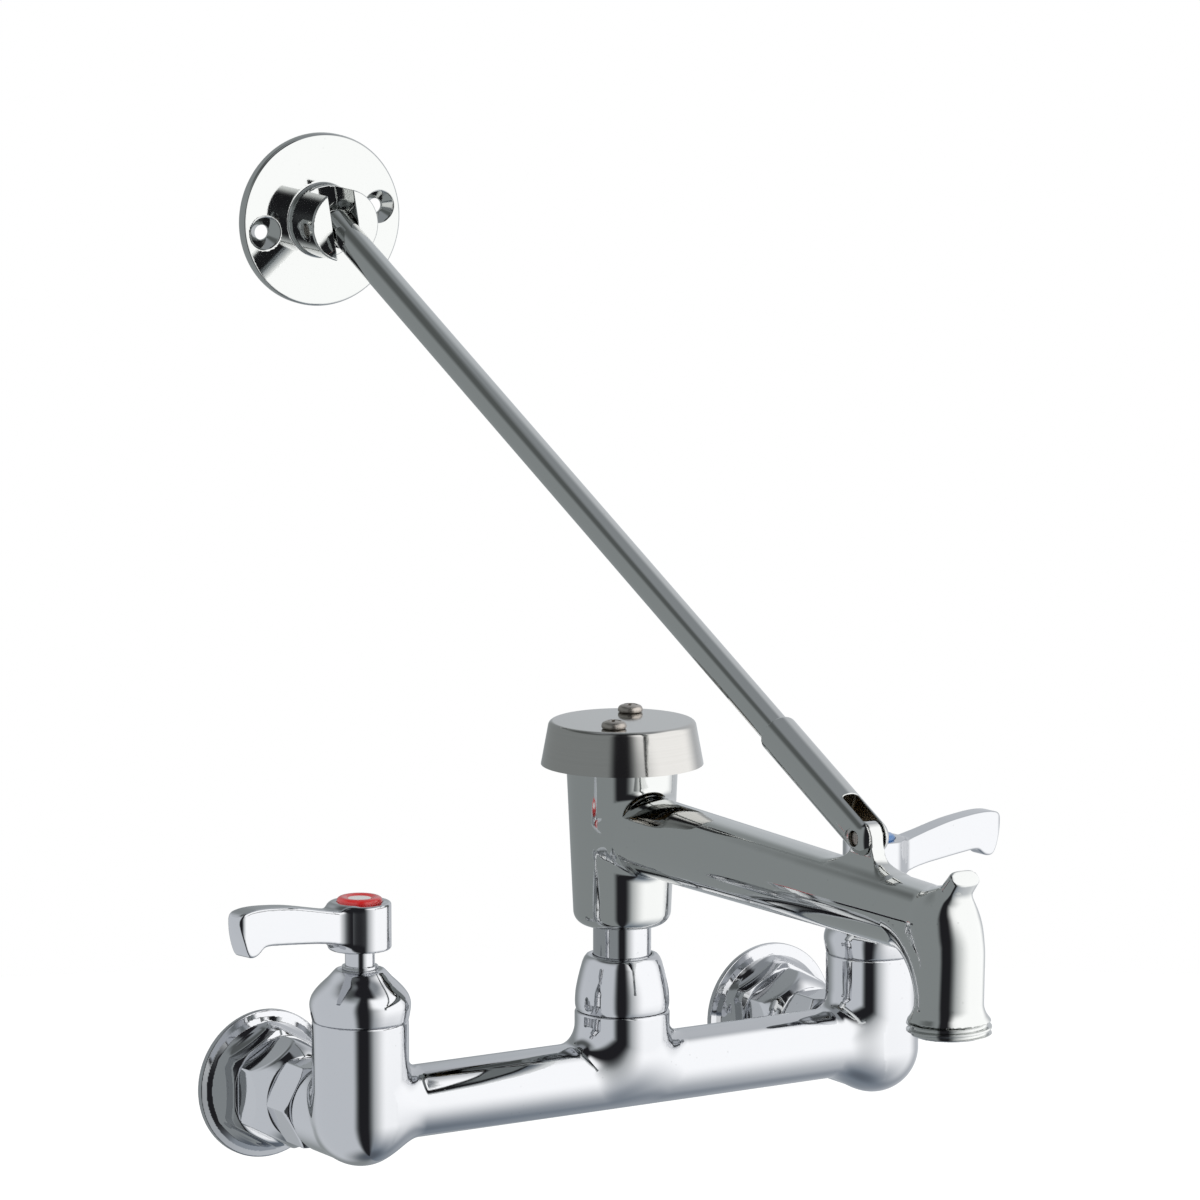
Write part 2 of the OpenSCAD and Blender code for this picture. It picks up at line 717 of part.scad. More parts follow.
// Outline of the horn across its length
module horn_section() {
  square([horn_w - horn_t, horn_t], center = true);
  for (side = [-1, 1]) translate([side * (horn_w - horn_t) / 2, 0]) circle(d = horn_t);
}

module horn() at_elbow() translate([0, horn_shift, 0]) rotate([horn_lean, 0, 0]) {
  linear_extrude(height = horn_len) horn_section();
  // The web leans about the horn's end
  translate([0, 0, horn_len]) rotate([web_lean, 0, 0])
    translate([0, 0, -horn_len - web_end_drop])
      linear_extrude(height = horn_len) horn_section();
}

module outlet_solid() at_elbow() {
  translate([0, elbow_back, 0]) sphere(r = arm_tip_r);
  sphere(r = elbow_r);
  translate([0, 0, -outlet_drop]) rotate_extrude() polygon([[0, 0], [hose_thread_r, 0],
    [hose_thread_r, hose_thread_h], [outlet_neck_r, hose_thread_h + flare_h],
    [outlet_neck_r, outlet_drop - neck_taper_h], [elbow_r, outlet_drop], [0, outlet_drop]]);
}

module spout_casting() color("silver") difference() {
  union() {
    at_post() translate([0, 0, upright_low]) rotate_extrude() polygon(concat(
      [[0, 0]], quarter(upright_low_r - upright_round, upright_round, upright_round),
      [[upright_r, rim_z - upright_low], [0, rim_z - upright_low]]));
    along_arm() cylinder(h = spout_reach - elbow_back, r1 = arm_r, r2 = arm_tip_r);
    outlet_solid();
    lug();
    horn();
  }
  at_post() {
    // Thread of the riser, float seat, chamber and the cap screws' holes
    translate([0, 0, upright_low - over])
      cylinder(h = riser_entry + over, r = riser_r + thread_fit);
    translate([0, 0, seat_low - over]) cylinder(h = seat_h + 2 * over, r = seat_way_r);
    translate([0, 0, seat_top]) cylinder(h = rim_z, r = float_chamber_r);
    cap_screw_places() translate([0, 0, rim_z - cap_screw_entry])
      cylinder(h = cap_screw_entry + over, r = cap_screw_r + thread_fit);
  }
  along_arm() cylinder(h = spout_reach, r = arm_way_r);
  at_elbow() {
    sphere(r = arm_way_r);
    translate([0, 0, -outlet_drop - over])
      cylinder(h = outlet_drop + over, r = arm_way_r);
    translate([0, 0, -outlet_drop - over])
      cylinder(h = hose_thread_h + flare_h + over, r = outlet_way_r);
  }
  at_pivot() rotate([0, 90, 0])
    cylinder(h = lug_t + 2 * over, r = pin_r + run_fit, center = true);
}

// The vacuum breaker
// Depth of the cap's screws in the upright body
cap_screw_entry = 8;
// Direction of the line through the cap's screws
cap_screw_angle = 48;
cap_low = rim_z - cap_lap;
cap_top = cap_low + cap_h;
plate_z = rim_z + vent_gasket_h;
// Radii of the plate's hub, its air openings and the posts under the cap
guide_r = 2;
plate_hub_r = 4;
air_way_r = 8;
stand_off_r = 2.8;
// Width of the spokes between the air openings
spoke_w = 3;

module cap_screw_places()
  for (turn = [0, 180]) rotate([0, 0, cap_screw_angle + turn])
    translate([cap_screw_reach, 0, 0]) children();

module vent_gasket() color("dimgray") at_post() difference() {
  translate([0, 0, rim_z]) ring(upright_r - face_gap, float_chamber_r, vent_gasket_h);
  cap_screw_places() translate([0, 0, rim_z - over])
    cylinder(h = vent_gasket_h + 2 * over, r = cap_screw_r + thread_fit);
}

module vent_plate() color("goldenrod") at_post() difference() {
  union() {
    translate([0, 0, plate_z]) cylinder(h = vent_plate_h, r = upright_r - face_gap);
    translate([0, 0, plate_z - air_seat_drop])
      cylinder(h = air_seat_drop, r = air_way_r + vent_plate_h);
    cap_screw_places() translate([0, 0, plate_z])
      cylinder(h = cap_top - cap_wall - plate_z, r = stand_off_r);
  }
  difference() {
    translate([0, 0, plate_z - air_seat_drop - over])
      cylinder(h = air_seat_drop + vent_plate_h + 2 * over, r = air_way_r);
    // Guide for the float's pin, carried by the spokes
    translate([0, 0, plate_z]) cylinder(h = vent_plate_h, r = plate_hub_r);
    for (turn = [0, 120, 240]) rotate([0, 0, turn])
      translate([0, -spoke_w / 2, plate_z]) cube([air_way_r + over, spoke_w, vent_plate_h]);
  }
  translate([0, 0, plate_z - over])
    cylinder(h = vent_plate_h + 2 * over, r = guide_r + run_fit);
  cap_screw_places() translate([0, 0, plate_z - over])
    cylinder(h = cap_h + vent_plate_h, r = cap_screw_r + thread_fit);
}

// Height of the cap's rounded top edge
cap_round = 1.8;

// Outline of the cap, drawn in by the inset and drawn down to the low edge
module cap_outline(inset, low) polygon(concat([[0, low], [cap_r - inset, low]],
  [for (i = [0 : round_steps])
    [cap_top_r - inset - cap_round * (1 - cos(90 * i / round_steps)),
     cap_h - inset - cap_round * (1 - sin(90 * i / round_steps))]], [[0, cap_h - inset]]));

module breaker_cap() color("darkgray") at_post() difference() {
  translate([0, 0, cap_low]) rotate_extrude() difference() {
    cap_outline(0, 0);
    cap_outline(cap_wall, -over);
  }
  cap_screw_places() translate([0, 0, cap_top - cap_wall - over])
    cylinder(h = cap_wall + 2 * over, r = cap_screw_r + thread_fit);
}

// Size of the cap screws' pan heads and of the cross in them
cap_head_r = 4.2;
cap_head_h = 3;
cross_w = 1.1;
cross_l = 4.8;
cross_depth = 1.2;

module cap_screws() color("tan") at_post() cap_screw_places() difference() {
  union() {
    translate([0, 0, rim_z - cap_screw_entry])
      cylinder(h = cap_top - rim_z + cap_screw_entry, r = cap_screw_r);
    translate([0, 0, cap_top]) intersection() {
      cylinder(h = cap_head_h, r = cap_head_r);
      translate([0, 0, cap_head_h - 2 * cap_head_r]) sphere(r = 2 * cap_head_r);
    }
  }
  for (turn = [0, 90]) translate([0, 0, cap_top + cap_head_h]) rotate([0, 0, turn])
    cube([cross_l, cross_w, 2 * cross_depth], center = true);
}

// Radii and heights of the float's two discs, its stem and its guide pin
float_r = 10;
float_disc_h = 3;
float_stem_r = 3;
float_seal_h = 1.5;
float_seal_r = 9.4;
float_low = seat_top + face_gap;
float_top = plate_z - air_seat_drop - float_travel - face_gap - float_seal_h;
pin_top = plate_z + vent_plate_h;

module float() color("ivory") at_post() {
  translate([0, 0, float_low]) cylinder(h = float_disc_h, r = float_r);
  translate([0, 0, float_low]) cylinder(h = float_top - float_low, r = float_stem_r);
  translate([0, 0, float_top - float_disc_h]) cylinder(h = float_disc_h, r = float_r);
  translate([0, 0, float_top]) cylinder(h = pin_top - float_top, r = guide_r);
}

module float_seals() color("dimgray") at_post()
  translate([0, 0, float_top]) ring(float_seal_r, guide_r, float_seal_h);

// The brace
// Depth of each pin's end below the face around it
pin_sink = 0.8;
// Solid length of the sleeve between the fork and the rod
sleeve_bridge = 6;
rod_start = fork_depth + sleeve_bridge;
rod_low = rod_start + face_gap;
slot_w = lug_t + 2 * face_gap;

module brace_sleeve() color("silver") along_brace() difference() {
  union() {
    rotate([-90, 0, 0]) cylinder(h = sleeve_len, r = sleeve_r);
    sphere(r = sleeve_r);
  }
  // Slot of the fork
  translate([-slot_w / 2, -sleeve_r - over, -sleeve_r - over])
    cube([slot_w, sleeve_r + over + fork_depth, 2 * (sleeve_r + over)]);
  translate([0, rod_start, 0]) rotate([-90, 0, 0])
    cylinder(h = sleeve_len, r = rod_r + run_fit);
  rotate([0, 90, 0]) cylinder(h = 2 * (sleeve_r + over), r = pin_r + thread_fit,
    center = true);
}

module sleeve_pin() color("tan") along_brace() rotate([0, 90, 0])
  cylinder(h = 2 * (sleeve_r - pin_sink), r = pin_r, center = true);

module brace_rod() color("silver") along_brace() rotate([0, rod_turn, 0]) difference() {
  union() {
    translate([0, rod_low, 0]) rotate([-90, 0, 0])
      cylinder(h = brace_len - rod_low, r = rod_r);
    translate([0, brace_len, 0]) sphere(r = rod_r);
  }
  // Two flats beside the upper pivot
  for (side = [-1, 1])
    translate([side * (tongue_t / 2 + rod_r) - rod_r, brace_len - tongue_len, -rod_r - over])
      cube([2 * rod_r, tongue_len + rod_r + over, 2 * (rod_r + over)]);
  translate([0, brace_len, 0]) rotate([0, 90, 0])
    cylinder(h = 2 * (rod_r + over), r = pin_r + run_fit, center = true);
}

// Gap between the tongue's round end and the bottom of the boss's slot
tongue_room = 3;
flange_slot_w = tongue_t + 2 * face_gap;

module brace_flange() color("silver") at_flange() difference() {
  union() {
    translate([0, brace_pin_stand, 0]) rotate([-90, 0, 0])
      cylinder(h = brace_disc_h, r = brace_disc_r);
    translate([0, brace_pin_stand - brace_boss_h, 0]) rotate([-90, 0, 0])
      cylinder(h = brace_boss_h + over, r = brace_boss_r);
  }
  translate([-flange_slot_w / 2, -brace_boss_h, -brace_boss_r - over])
    cube([flange_slot_w, brace_boss_h + rod_r + tongue_room, 2 * (brace_boss_r + over)]);
  rotate([0, 90, 0]) cylinder(h = 2 * (brace_boss_r + over), r = pin_r + thread_fit,
    center = true);
  for (side = [-1, 1])
    translate([side * brace_hole_span / 2, brace_pin_stand, 0]) rotate([-90, 0, 0]) {
      translate([0, 0, -over]) cylinder(h = brace_disc_h + 2 * over, r = brace_hole_r);
      translate([0, 0, -over]) cylinder(h = brace_sink_r - brace_hole_r + over,
        r1 = brace_sink_r + over, r2 = brace_hole_r);
    }
}

module flange_pin() color("tan") at_flange() rotate([0, 90, 0])
  cylinder(h = 2 * (brace_boss_r - pin_sink), r = pin_r, center = true);

body_casting();
hot_side() wall_disc();  // hot_wall_disc
cold_side() wall_disc();  // cold_wall_disc
hot_side() fitting();  // hot_fitting
cold_side() fitting();  // cold_fitting
hot_side() union_nut();  // hot_union_nut
cold_side() union_nut();  // cold_union_nut
both_sides() union_washer();  // union_washers
both_sides() split_ring();  // split_rings
hot_side() bonnet();  // hot_bonnet
cold_side() bonnet();  // cold_bonnet
hot_side() shell();  // hot_shell
cold_side() shell();  // cold_shell
both_sides() fixed_disc();  // fixed_discs
both_sides() seat_seal();  // seat_seals
collar_nut();
hot_side() stem();  // hot_stem
cold_side() stem();  // cold_stem
hot_side() turning_disc();  // hot_turning_disc
cold_side() turning_disc();  // cold_turning_disc
hot_side() lever(-hot_lever_turn);  // hot_lever
cold_side() lever(cold_lever_turn);  // cold_lever
hot_side() lever_screw();  // hot_lever_screw
cold_side() lever_screw();  // cold_lever_screw
hot_side() index_button("red");  // hot_index
cold_side() index_button("blue");  // cold_index
riser_tube();
riser_seals();
riser_ring();
spout_casting();
vent_gasket();
vent_plate();
breaker_cap();
cap_screws();
float();
float_seals();
brace_sleeve();
sleeve_pin();
brace_rod();
brace_flange();
flange_pin();
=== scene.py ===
"""Wall-mounted service faucet: the visible pieces over the fixed CAD frame."""

import functools
import json
import math

import bpy
import numpy as np
from bpy.props import FloatProperty, FloatVectorProperty, PointerProperty
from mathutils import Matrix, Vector


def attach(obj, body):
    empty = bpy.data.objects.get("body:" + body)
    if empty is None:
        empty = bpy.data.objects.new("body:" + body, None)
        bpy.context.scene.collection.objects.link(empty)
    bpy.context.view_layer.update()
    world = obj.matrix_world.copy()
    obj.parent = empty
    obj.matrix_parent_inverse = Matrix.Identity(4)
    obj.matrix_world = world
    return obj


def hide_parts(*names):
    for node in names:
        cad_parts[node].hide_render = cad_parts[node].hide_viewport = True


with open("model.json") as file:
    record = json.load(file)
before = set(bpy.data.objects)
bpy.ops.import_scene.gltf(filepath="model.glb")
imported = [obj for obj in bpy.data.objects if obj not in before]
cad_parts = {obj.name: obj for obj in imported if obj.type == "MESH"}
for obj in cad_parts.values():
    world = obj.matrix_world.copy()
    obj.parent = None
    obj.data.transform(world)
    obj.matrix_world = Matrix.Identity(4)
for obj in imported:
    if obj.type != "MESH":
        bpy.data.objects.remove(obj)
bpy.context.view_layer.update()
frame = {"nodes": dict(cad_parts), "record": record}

bl_info = {
    "name": "Service Faucet Pieces",
    "version": (1, 0, 0),
    "blender": (4, 5, 0),
    "location": "3D View > Sidebar > Faucet",
    "description": "Builds a chrome service faucet over its CAD frame",
    "category": "Add Mesh",
}

# Places and sizes from the frame, in millimetres

JOINTS = {joint["name"]: joint for joint in frame["record"]["behaviour"]["joints"]}
MOUNTS = {mount["name"]: mount for mount in frame["record"]["mounts"]}


def place_of(item):
    """A joint's or mount's place in millimetres."""
    return np.array(item["pos_m"], float) * 1000.0


def direction_of(item):
    """A joint's or mount's axis."""
    return np.array(item["axis"], float)


VALVE_X = float(place_of(JOINTS["cold_valve_turn"])[0])
WALL_REACH = -float(place_of(JOINTS["spout_swing"])[1])
SPOUT_REACH = round(-float(place_of(MOUNTS["hose_outlet"])[1]) - WALL_REACH, 4)
FORK_PIN = place_of(JOINTS["brace_tilt"])
WALL_PIN = place_of(JOINTS["wall_flange_tilt"])
ROD_LENGTH = float(np.linalg.norm(WALL_PIN - FORK_PIN))
ROD_LINE = direction_of(JOINTS["brace_rod_turn"])
WALL_PIN_LINE = direction_of(JOINTS["wall_flange_tilt"])
FLANGE_NORMAL = direction_of(MOUNTS["brace_wall_face"])
SIDES = (("hot", -VALVE_X), ("cold", VALVE_X))
POST_PLACE = (0.0, -WALL_REACH, 0.0)

# Sizes that more than one piece uses, in millimetres

CLEARANCE = 0.05
FINE_EDGE, SOFT_EDGE, TURNED_EDGE, CAST_EDGE = 0.3, 0.4, 0.5, 0.8
BARREL_RADIUS, BARREL_TOP = 16.0, 34.0
SHANK_RADIUS = 9.0
POST_TOP = 25.7
NECK_RADIUS = 12.4
DISC_FRONT = 12.4
FITTING_RADIUS = 13.9
FITTING_THREAD = 11.4
WATERWAY = 7.0
BONNET_THREAD = 12.95
STEM_RADIUS = 4.9
LEVER_Z = 57.8
HUB_DEPTH = 8.0
SCREW_BORE = 2.05
BUTTON_RADIUS, BUTTON_LOW = 7.6, 14.0
TAIL_RADIUS = 8.95
RISER_RADIUS, RISER_TOP = 9.75, 75.0
ARM_Z = 87.8
OUTLET_LOW = 53.4
CAP_TOP = 124.2
PIN_RADIUS = 2.4
ROD_RADIUS = 5.15
THROUGH = -np.inf


# Distance fields, in millimetres


def reach(*parts):
    """Length of a vector given by its parts."""
    return np.sqrt(sum(part * part for part in parts))


def blend_join(a, b, radius):
    """Both shapes, with a fillet of that radius between them."""
    u = np.maximum(radius - a, 0.0)
    v = np.maximum(radius - b, 0.0)
    return np.maximum(radius, np.minimum(a, b)) - np.sqrt(u * u + v * v)


def blend_keep(a, b, radius):
    """What lies in both shapes, with the edge rounded to that radius."""
    u = np.maximum(radius + a, 0.0)
    v = np.maximum(radius + b, 0.0)
    return np.minimum(-radius, np.maximum(a, b)) + np.sqrt(u * u + v * v)


def blend_cut(a, b, radius):
    """The first shape without the second, with the edge rounded."""
    return blend_keep(a, -b, radius)


def taper(r, t, r0, t0, r1, t1):
    """Distance to a cone of radius r0 at t0 and r1 at t1."""
    slope = (r1 - r0) / (t1 - t0)
    return (r - r0 - slope * (t - t0)) / math.sqrt(1.0 + slope * slope)


def outline_distance(x, y, points):
    """Signed distance to a closed outline, negative inside."""
    count = len(points)
    best = None
    sign = np.ones_like(x)
    for i in range(count):
        ax, ay = points[i]
        bx, by = points[i - 1]
        ex, ey = bx - ax, by - ay
        wx, wy = x - ax, y - ay
        t = np.clip((wx * ex + wy * ey) / (ex * ex + ey * ey), 0.0, 1.0)
        dx, dy = wx - ex * t, wy - ey * t
        d = dx * dx + dy * dy
        best = d if best is None else np.minimum(best, d)
        c1, c2, c3 = y >= ay, y < by, ex * wy > ey * wx
        sign = np.where((c1 & c2 & c3) | ~(c1 | c2 | c3), -sign, sign)
    return sign * np.sqrt(best)


def hexagon_distance(x, y, flats, corner):
    """Signed distance to a hexagon with flats square to x and rounded corners."""
    half = flats / 2.0 - corner
    points = [
        (half / math.cos(math.pi / 6) * math.cos(a), half / math.cos(math.pi / 6) * math.sin(a))
        for a in (math.radians(30 + 60 * i) for i in range(6))
    ]
    return outline_distance(x, y, points) - corner


def slab(t, low, high):
    """Distance to the space between two planes."""
    return np.maximum(low - t, t - high)


def rod_distance(x, y, z, start, end, start_r, end_r):
    """Distance to a rod with round ends whose radius changes along it."""
    start, end = np.array(start, float), np.array(end, float)
    line = end - start
    px, py, pz = x - start[0], y - start[1], z - start[2]
    t = np.clip((px * line[0] + py * line[1] + pz * line[2]) / (line @ line), 0.0, 1.0)
    gap = reach(px - t * line[0], py - t * line[1], pz - t * line[2])
    return gap - start_r - t * (end_r - start_r)


def union(*shapes):
    """Several shapes as one, with sharp edges."""
    return functools.reduce(np.minimum, shapes)


def bored(*bores):
    """Bores as one shape; each has the distance from its line, its radius, the distance along its
    line and the floor from which it runs on."""
    return union(*(np.maximum(r - radius, floor - along) for r, radius, along, floor in bores))


# Meshes from distance fields and outlines


def field_slope(field, points, step=0.02):
    """Unit slope of a field at each point."""
    slope = np.empty_like(points)
    for i in range(3):
        offset = np.zeros(3)
        offset[i] = step
        ahead, behind = points + offset, points - offset
        slope[:, i] = field(*ahead.T) - field(*behind.T)
    slope /= np.maximum(np.linalg.norm(slope, axis=1), 1e-12)[:, None]
    return slope


def field_mesh(field, low, high, step):
    """Points, quads and normals of the surface where a field is zero, found on a grid of that step
    in a box that just holds the shape."""
    block_rows, rounds, smooth_rounds, pull = 24, 5, 3, 0.6
    low, high = np.array(low, float), np.array(high, float)
    size = np.ceil((high - low) / step).astype(int) + 1
    axes = [low[i] + step * np.arange(size[i]) for i in range(3)]
    values = np.empty(size, np.float32)
    for start in range(0, size[0], block_rows):
        rows = slice(start, start + block_rows)
        values[rows] = field(*np.meshgrid(axes[0][rows], axes[1], axes[2], indexing="ij"))
    inside = values < 0.0
    total = np.zeros(size - 1, np.int8)
    for corner in np.ndindex(2, 2, 2):
        total += inside[tuple(slice(c, c + n - 1) for c, n in zip(corner, size))]
    cells = np.argwhere((total > 0) & (total < 8))
    number = np.full(size - 1, -1, np.int64)
    number[tuple(cells.T)] = np.arange(len(cells))
    points = np.zeros((len(cells), 3))
    crossings = np.zeros(len(cells))
    for axis in range(3):
        for corner in np.ndindex(2, 2):
            a = np.insert(np.array(corner), axis, 0)
            b = np.insert(np.array(corner), axis, 1)
            va = values[tuple((cells + a).T)].astype(float)
            vb = values[tuple((cells + b).T)].astype(float)
            cross = (va < 0.0) != (vb < 0.0)
            t = np.where(cross, va / np.where(cross, va - vb, 1.0), 0.0)
            spot = cells + a + t[:, None] * (b - a)
            points += np.where(cross[:, None], spot, 0.0)
            crossings += cross
    points = low + step * points / crossings[:, None]
    quads = []
    for axis in range(3):
        first, second = (axis + 1) % 3, (axis + 2) % 3
        ahead = [slice(None)] * 3
        ahead[axis] = slice(1, None)
        here = [slice(None)] * 3
        here[axis] = slice(0, -1)
        change = inside[tuple(here)] != inside[tuple(ahead)]
        spots = np.argwhere(change)
        keep = (spots[:, first] > 0) & (spots[:, second] > 0)
        keep &= (spots[:, first] < size[first] - 1) & (spots[:, second] < size[second] - 1)
        spots = spots[keep]
        ring = []
        for du, dv in ((1, 1), (0, 1), (0, 0), (1, 0)):
            cell = spots.copy()
            cell[:, first] -= du
            cell[:, second] -= dv
            ring.append(number[tuple(cell.T)])
        ring = np.stack(ring, axis=1)
        outward = inside[tuple(spots.T)]
        quads.append(np.where(outward[:, None], ring, ring[:, ::-1]))
    quads = np.concatenate(quads)
    edges = np.concatenate([quads[:, [i, (i + 1) % 4]] for i in range(4)])
    degree = np.bincount(edges.ravel(), minlength=len(points)).astype(float)
    for turn in range(rounds):
        slope = field_slope(field, points)
        points -= np.clip(field(*points.T), -step, step)[:, None] * slope
        if turn < smooth_rounds:
            centre = np.zeros_like(points)
            for i in range(3):
                centre[:, i] = np.bincount(edges[:, 0], points[edges[:, 1], i], len(points))
                centre[:, i] += np.bincount(edges[:, 1], points[edges[:, 0], i], len(points))
            drift = centre / np.maximum(degree, 1.0)[:, None] - points
            drift -= np.sum(drift * slope, axis=1)[:, None] * slope
            points += pull * drift
    return points, quads, field_slope(field, points)


def rounded(points, steps=5):
    """An outline whose corners (r, z, radius) are rounded; a corner without a radius is sharp."""
    almost_straight = math.radians(88.5)
    result = []
    for i, point in enumerate(points):
        if len(point) < 3 or point[2] == 0 or i in (0, len(points) - 1):
            result.append((point[0], point[1]))
            continue
        here = np.array(point[:2], float)
        back = np.array(points[i - 1][:2], float) - here
        ahead = np.array(points[i + 1][:2], float) - here
        back_length, ahead_length = np.linalg.norm(back), np.linalg.norm(ahead)
        back, ahead = back / back_length, ahead / ahead_length
        half = math.acos(max(-1.0, min(1.0, float(back @ ahead)))) / 2.0
        if half > almost_straight:
            result.append((point[0], point[1]))
            continue
        run = min(point[2] / math.tan(half), 0.48 * back_length, 0.48 * ahead_length)
        radius = run * math.tan(half)
        centre = here + (back + ahead) / np.linalg.norm(back + ahead) * radius / math.sin(half)
        a, b = here + back * run - centre, here + ahead * run - centre
        start = math.atan2(a[1], a[0])
        sweep = math.atan2(b[1], b[0]) - start
        sweep = (sweep + math.pi) % (2 * math.pi) - math.pi
        for k in range(steps + 1):
            angle = start + sweep * k / steps
            result.append((centre[0] + radius * math.cos(angle), centre[1] + radius * math.sin(angle)))
    return result


def curve_through(points, steps=6):
    """A smooth line through outline points, by a centripetal rule."""
    knots = np.array([p[:2] for p in points], float)
    padded = np.vstack([2 * knots[0] - knots[1], knots, 2 * knots[-1] - knots[-2]])
    result = []
    for i in range(1, len(padded) - 2):
        p0, p1, p2, p3 = padded[i - 1 : i + 3]
        times = [0.0]
        for a, b in ((p0, p1), (p1, p2), (p2, p3)):
            times.append(times[-1] + max(np.linalg.norm(b - a), 1e-6) ** 0.5)
        t0, t1, t2, t3 = times
        for k in range(steps):
            t = t1 + (t2 - t1) * k / steps
            a1 = (t1 - t) / (t1 - t0) * p0 + (t - t0) / (t1 - t0) * p1
            a2 = (t2 - t) / (t2 - t1) * p1 + (t - t1) / (t2 - t1) * p2
            a3 = (t3 - t) / (t3 - t2) * p2 + (t - t2) / (t3 - t2) * p3
            b1 = (t2 - t) / (t2 - t0) * a1 + (t - t0) / (t2 - t0) * a2
            b2 = (t3 - t) / (t3 - t1) * a2 + (t - t1) / (t3 - t1) * a3
            c = (t2 - t) / (t2 - t1) * b1 + (t - t1) / (t2 - t1) * b2
            result.append((float(c[0]), float(c[1])))
    result.append((float(knots[-1][0]), float(knots[-1][1])))
    return result


def turned_mesh(outline, closed=True, count=128):
    """Points, faces and normals of an outline (r, z) turned about z; the outline runs with the
    solid on its left hand."""
    line = [p for i, p in enumerate(outline) if i == 0 or math.dist(p, outline[i - 1]) > 1e-5]
    if closed and math.dist(line[0], line[-1]) < 1e-5:
        line = line[:-1]
    rows = len(line)
    spans = range(rows if closed else rows - 1)
    bend = np.zeros((rows, 2))
    for i in spans:
        (r0, z0), (r1, z1) = line[i], line[(i + 1) % rows]
        weight = max((r0 + r1) / 2.0, 0.05)
        bend[i] += np.array((z1 - z0, -(r1 - r0))) * weight
        bend[(i + 1) % rows] += np.array((z1 - z0, -(r1 - r0))) * weight
    bend /= np.maximum(np.linalg.norm(bend, axis=1), 1e-9)[:, None]
    turn = np.arange(count) * 2 * math.pi / count
    cos, sin = np.cos(turn), np.sin(turn)
    points, normals, first = [], [], []
    for (r, z), (nr, nz) in zip(line, bend):
        first.append(len(points))
        if r < 1e-6:
            points.append((0.0, 0.0, z))
            normals.append((0.0, 0.0, 1.0 if nz > 0 else -1.0))
            continue
        points += [(r * c, r * s, z) for c, s in zip(cos, sin)]
        normals += [(nr * c, nr * s, nz) for c, s in zip(cos, sin)]
    faces = []
    for i in spans:
        j = (i + 1) % rows
        a_pole, b_pole = line[i][0] < 1e-6, line[j][0] < 1e-6
        if a_pole and b_pole:
            continue
        for k in range(count):
            m = (k + 1) % count
            if a_pole:
                faces.append((first[i], first[j] + m, first[j] + k))
            elif b_pole:
                faces.append((first[i] + k, first[i] + m, first[j]))
            else:
                faces.append((first[i] + k, first[i] + m, first[j] + m, first[j] + k))
    return np.array(points), faces, np.array(normals)


def joined(*shapes):
    """Several shapes as one."""
    points, faces, normals, start = [], [], [], 0
    for shape_points, shape_faces, shape_normals in shapes:
        points.append(shape_points)
        normals.append(shape_normals)
        faces += [tuple(int(v) + start for v in face) for face in shape_faces]
        start += len(shape_points)
    return np.concatenate(points), faces, np.concatenate(normals)


def placed(shape, origin=(0, 0, 0), x=(1, 0, 0), y=(0, 1, 0)):
    """A shape moved from its own axes to the frame's, given two of its axes there."""
    x, y = np.array(x, float), np.array(y, float)
    turn = np.array([x, y, np.cross(x, y)])
    points, faces, normals = shape
    return points @ turn + np.array(origin, float), faces, normals @ turn


def turned_axes(angle):
    """The x and y axes after a turn about z."""
    cos, sin = math.cos(angle), math.sin(angle)
    return (cos, sin, 0.0), (-sin, cos, 0.0)


def mirrored(shape):
    """A hot side's shape on the cold side."""
    points, faces, normals = shape
    flip = np.array((-1.0, 1.0, 1.0))
    return points * flip, [tuple(face)[::-1] for face in faces], normals * flip


def make_piece(name, shape, finish, body, slot, *nodes):
    """A smooth mesh from a shape in millimetres, in place of CAD nodes."""
    points, faces, normals = shape
    mesh = bpy.data.meshes.new(name)
    mesh.from_pydata((points * 0.001).tolist(), [], [tuple(map(int, face)) for face in faces])
    mesh.polygons.foreach_set("use_smooth", np.ones(len(faces), bool))
    mesh.materials.append(finish_named(finish))
    mesh.normals_split_custom_set_from_vertices(normals.tolist())
    piece = bpy.data.objects.new(name, mesh)
    bpy.context.scene.collection.objects.link(piece)
    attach(piece, body)
    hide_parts(*nodes)
    return piece

# Shapes of the pieces, in millimetres


def inlet_axes(x, y, z):
    """Distance beside the hot inlet's line, distance from that line and distance off the wall."""
    side = x + VALVE_X
    return side, reach(side, z), -y


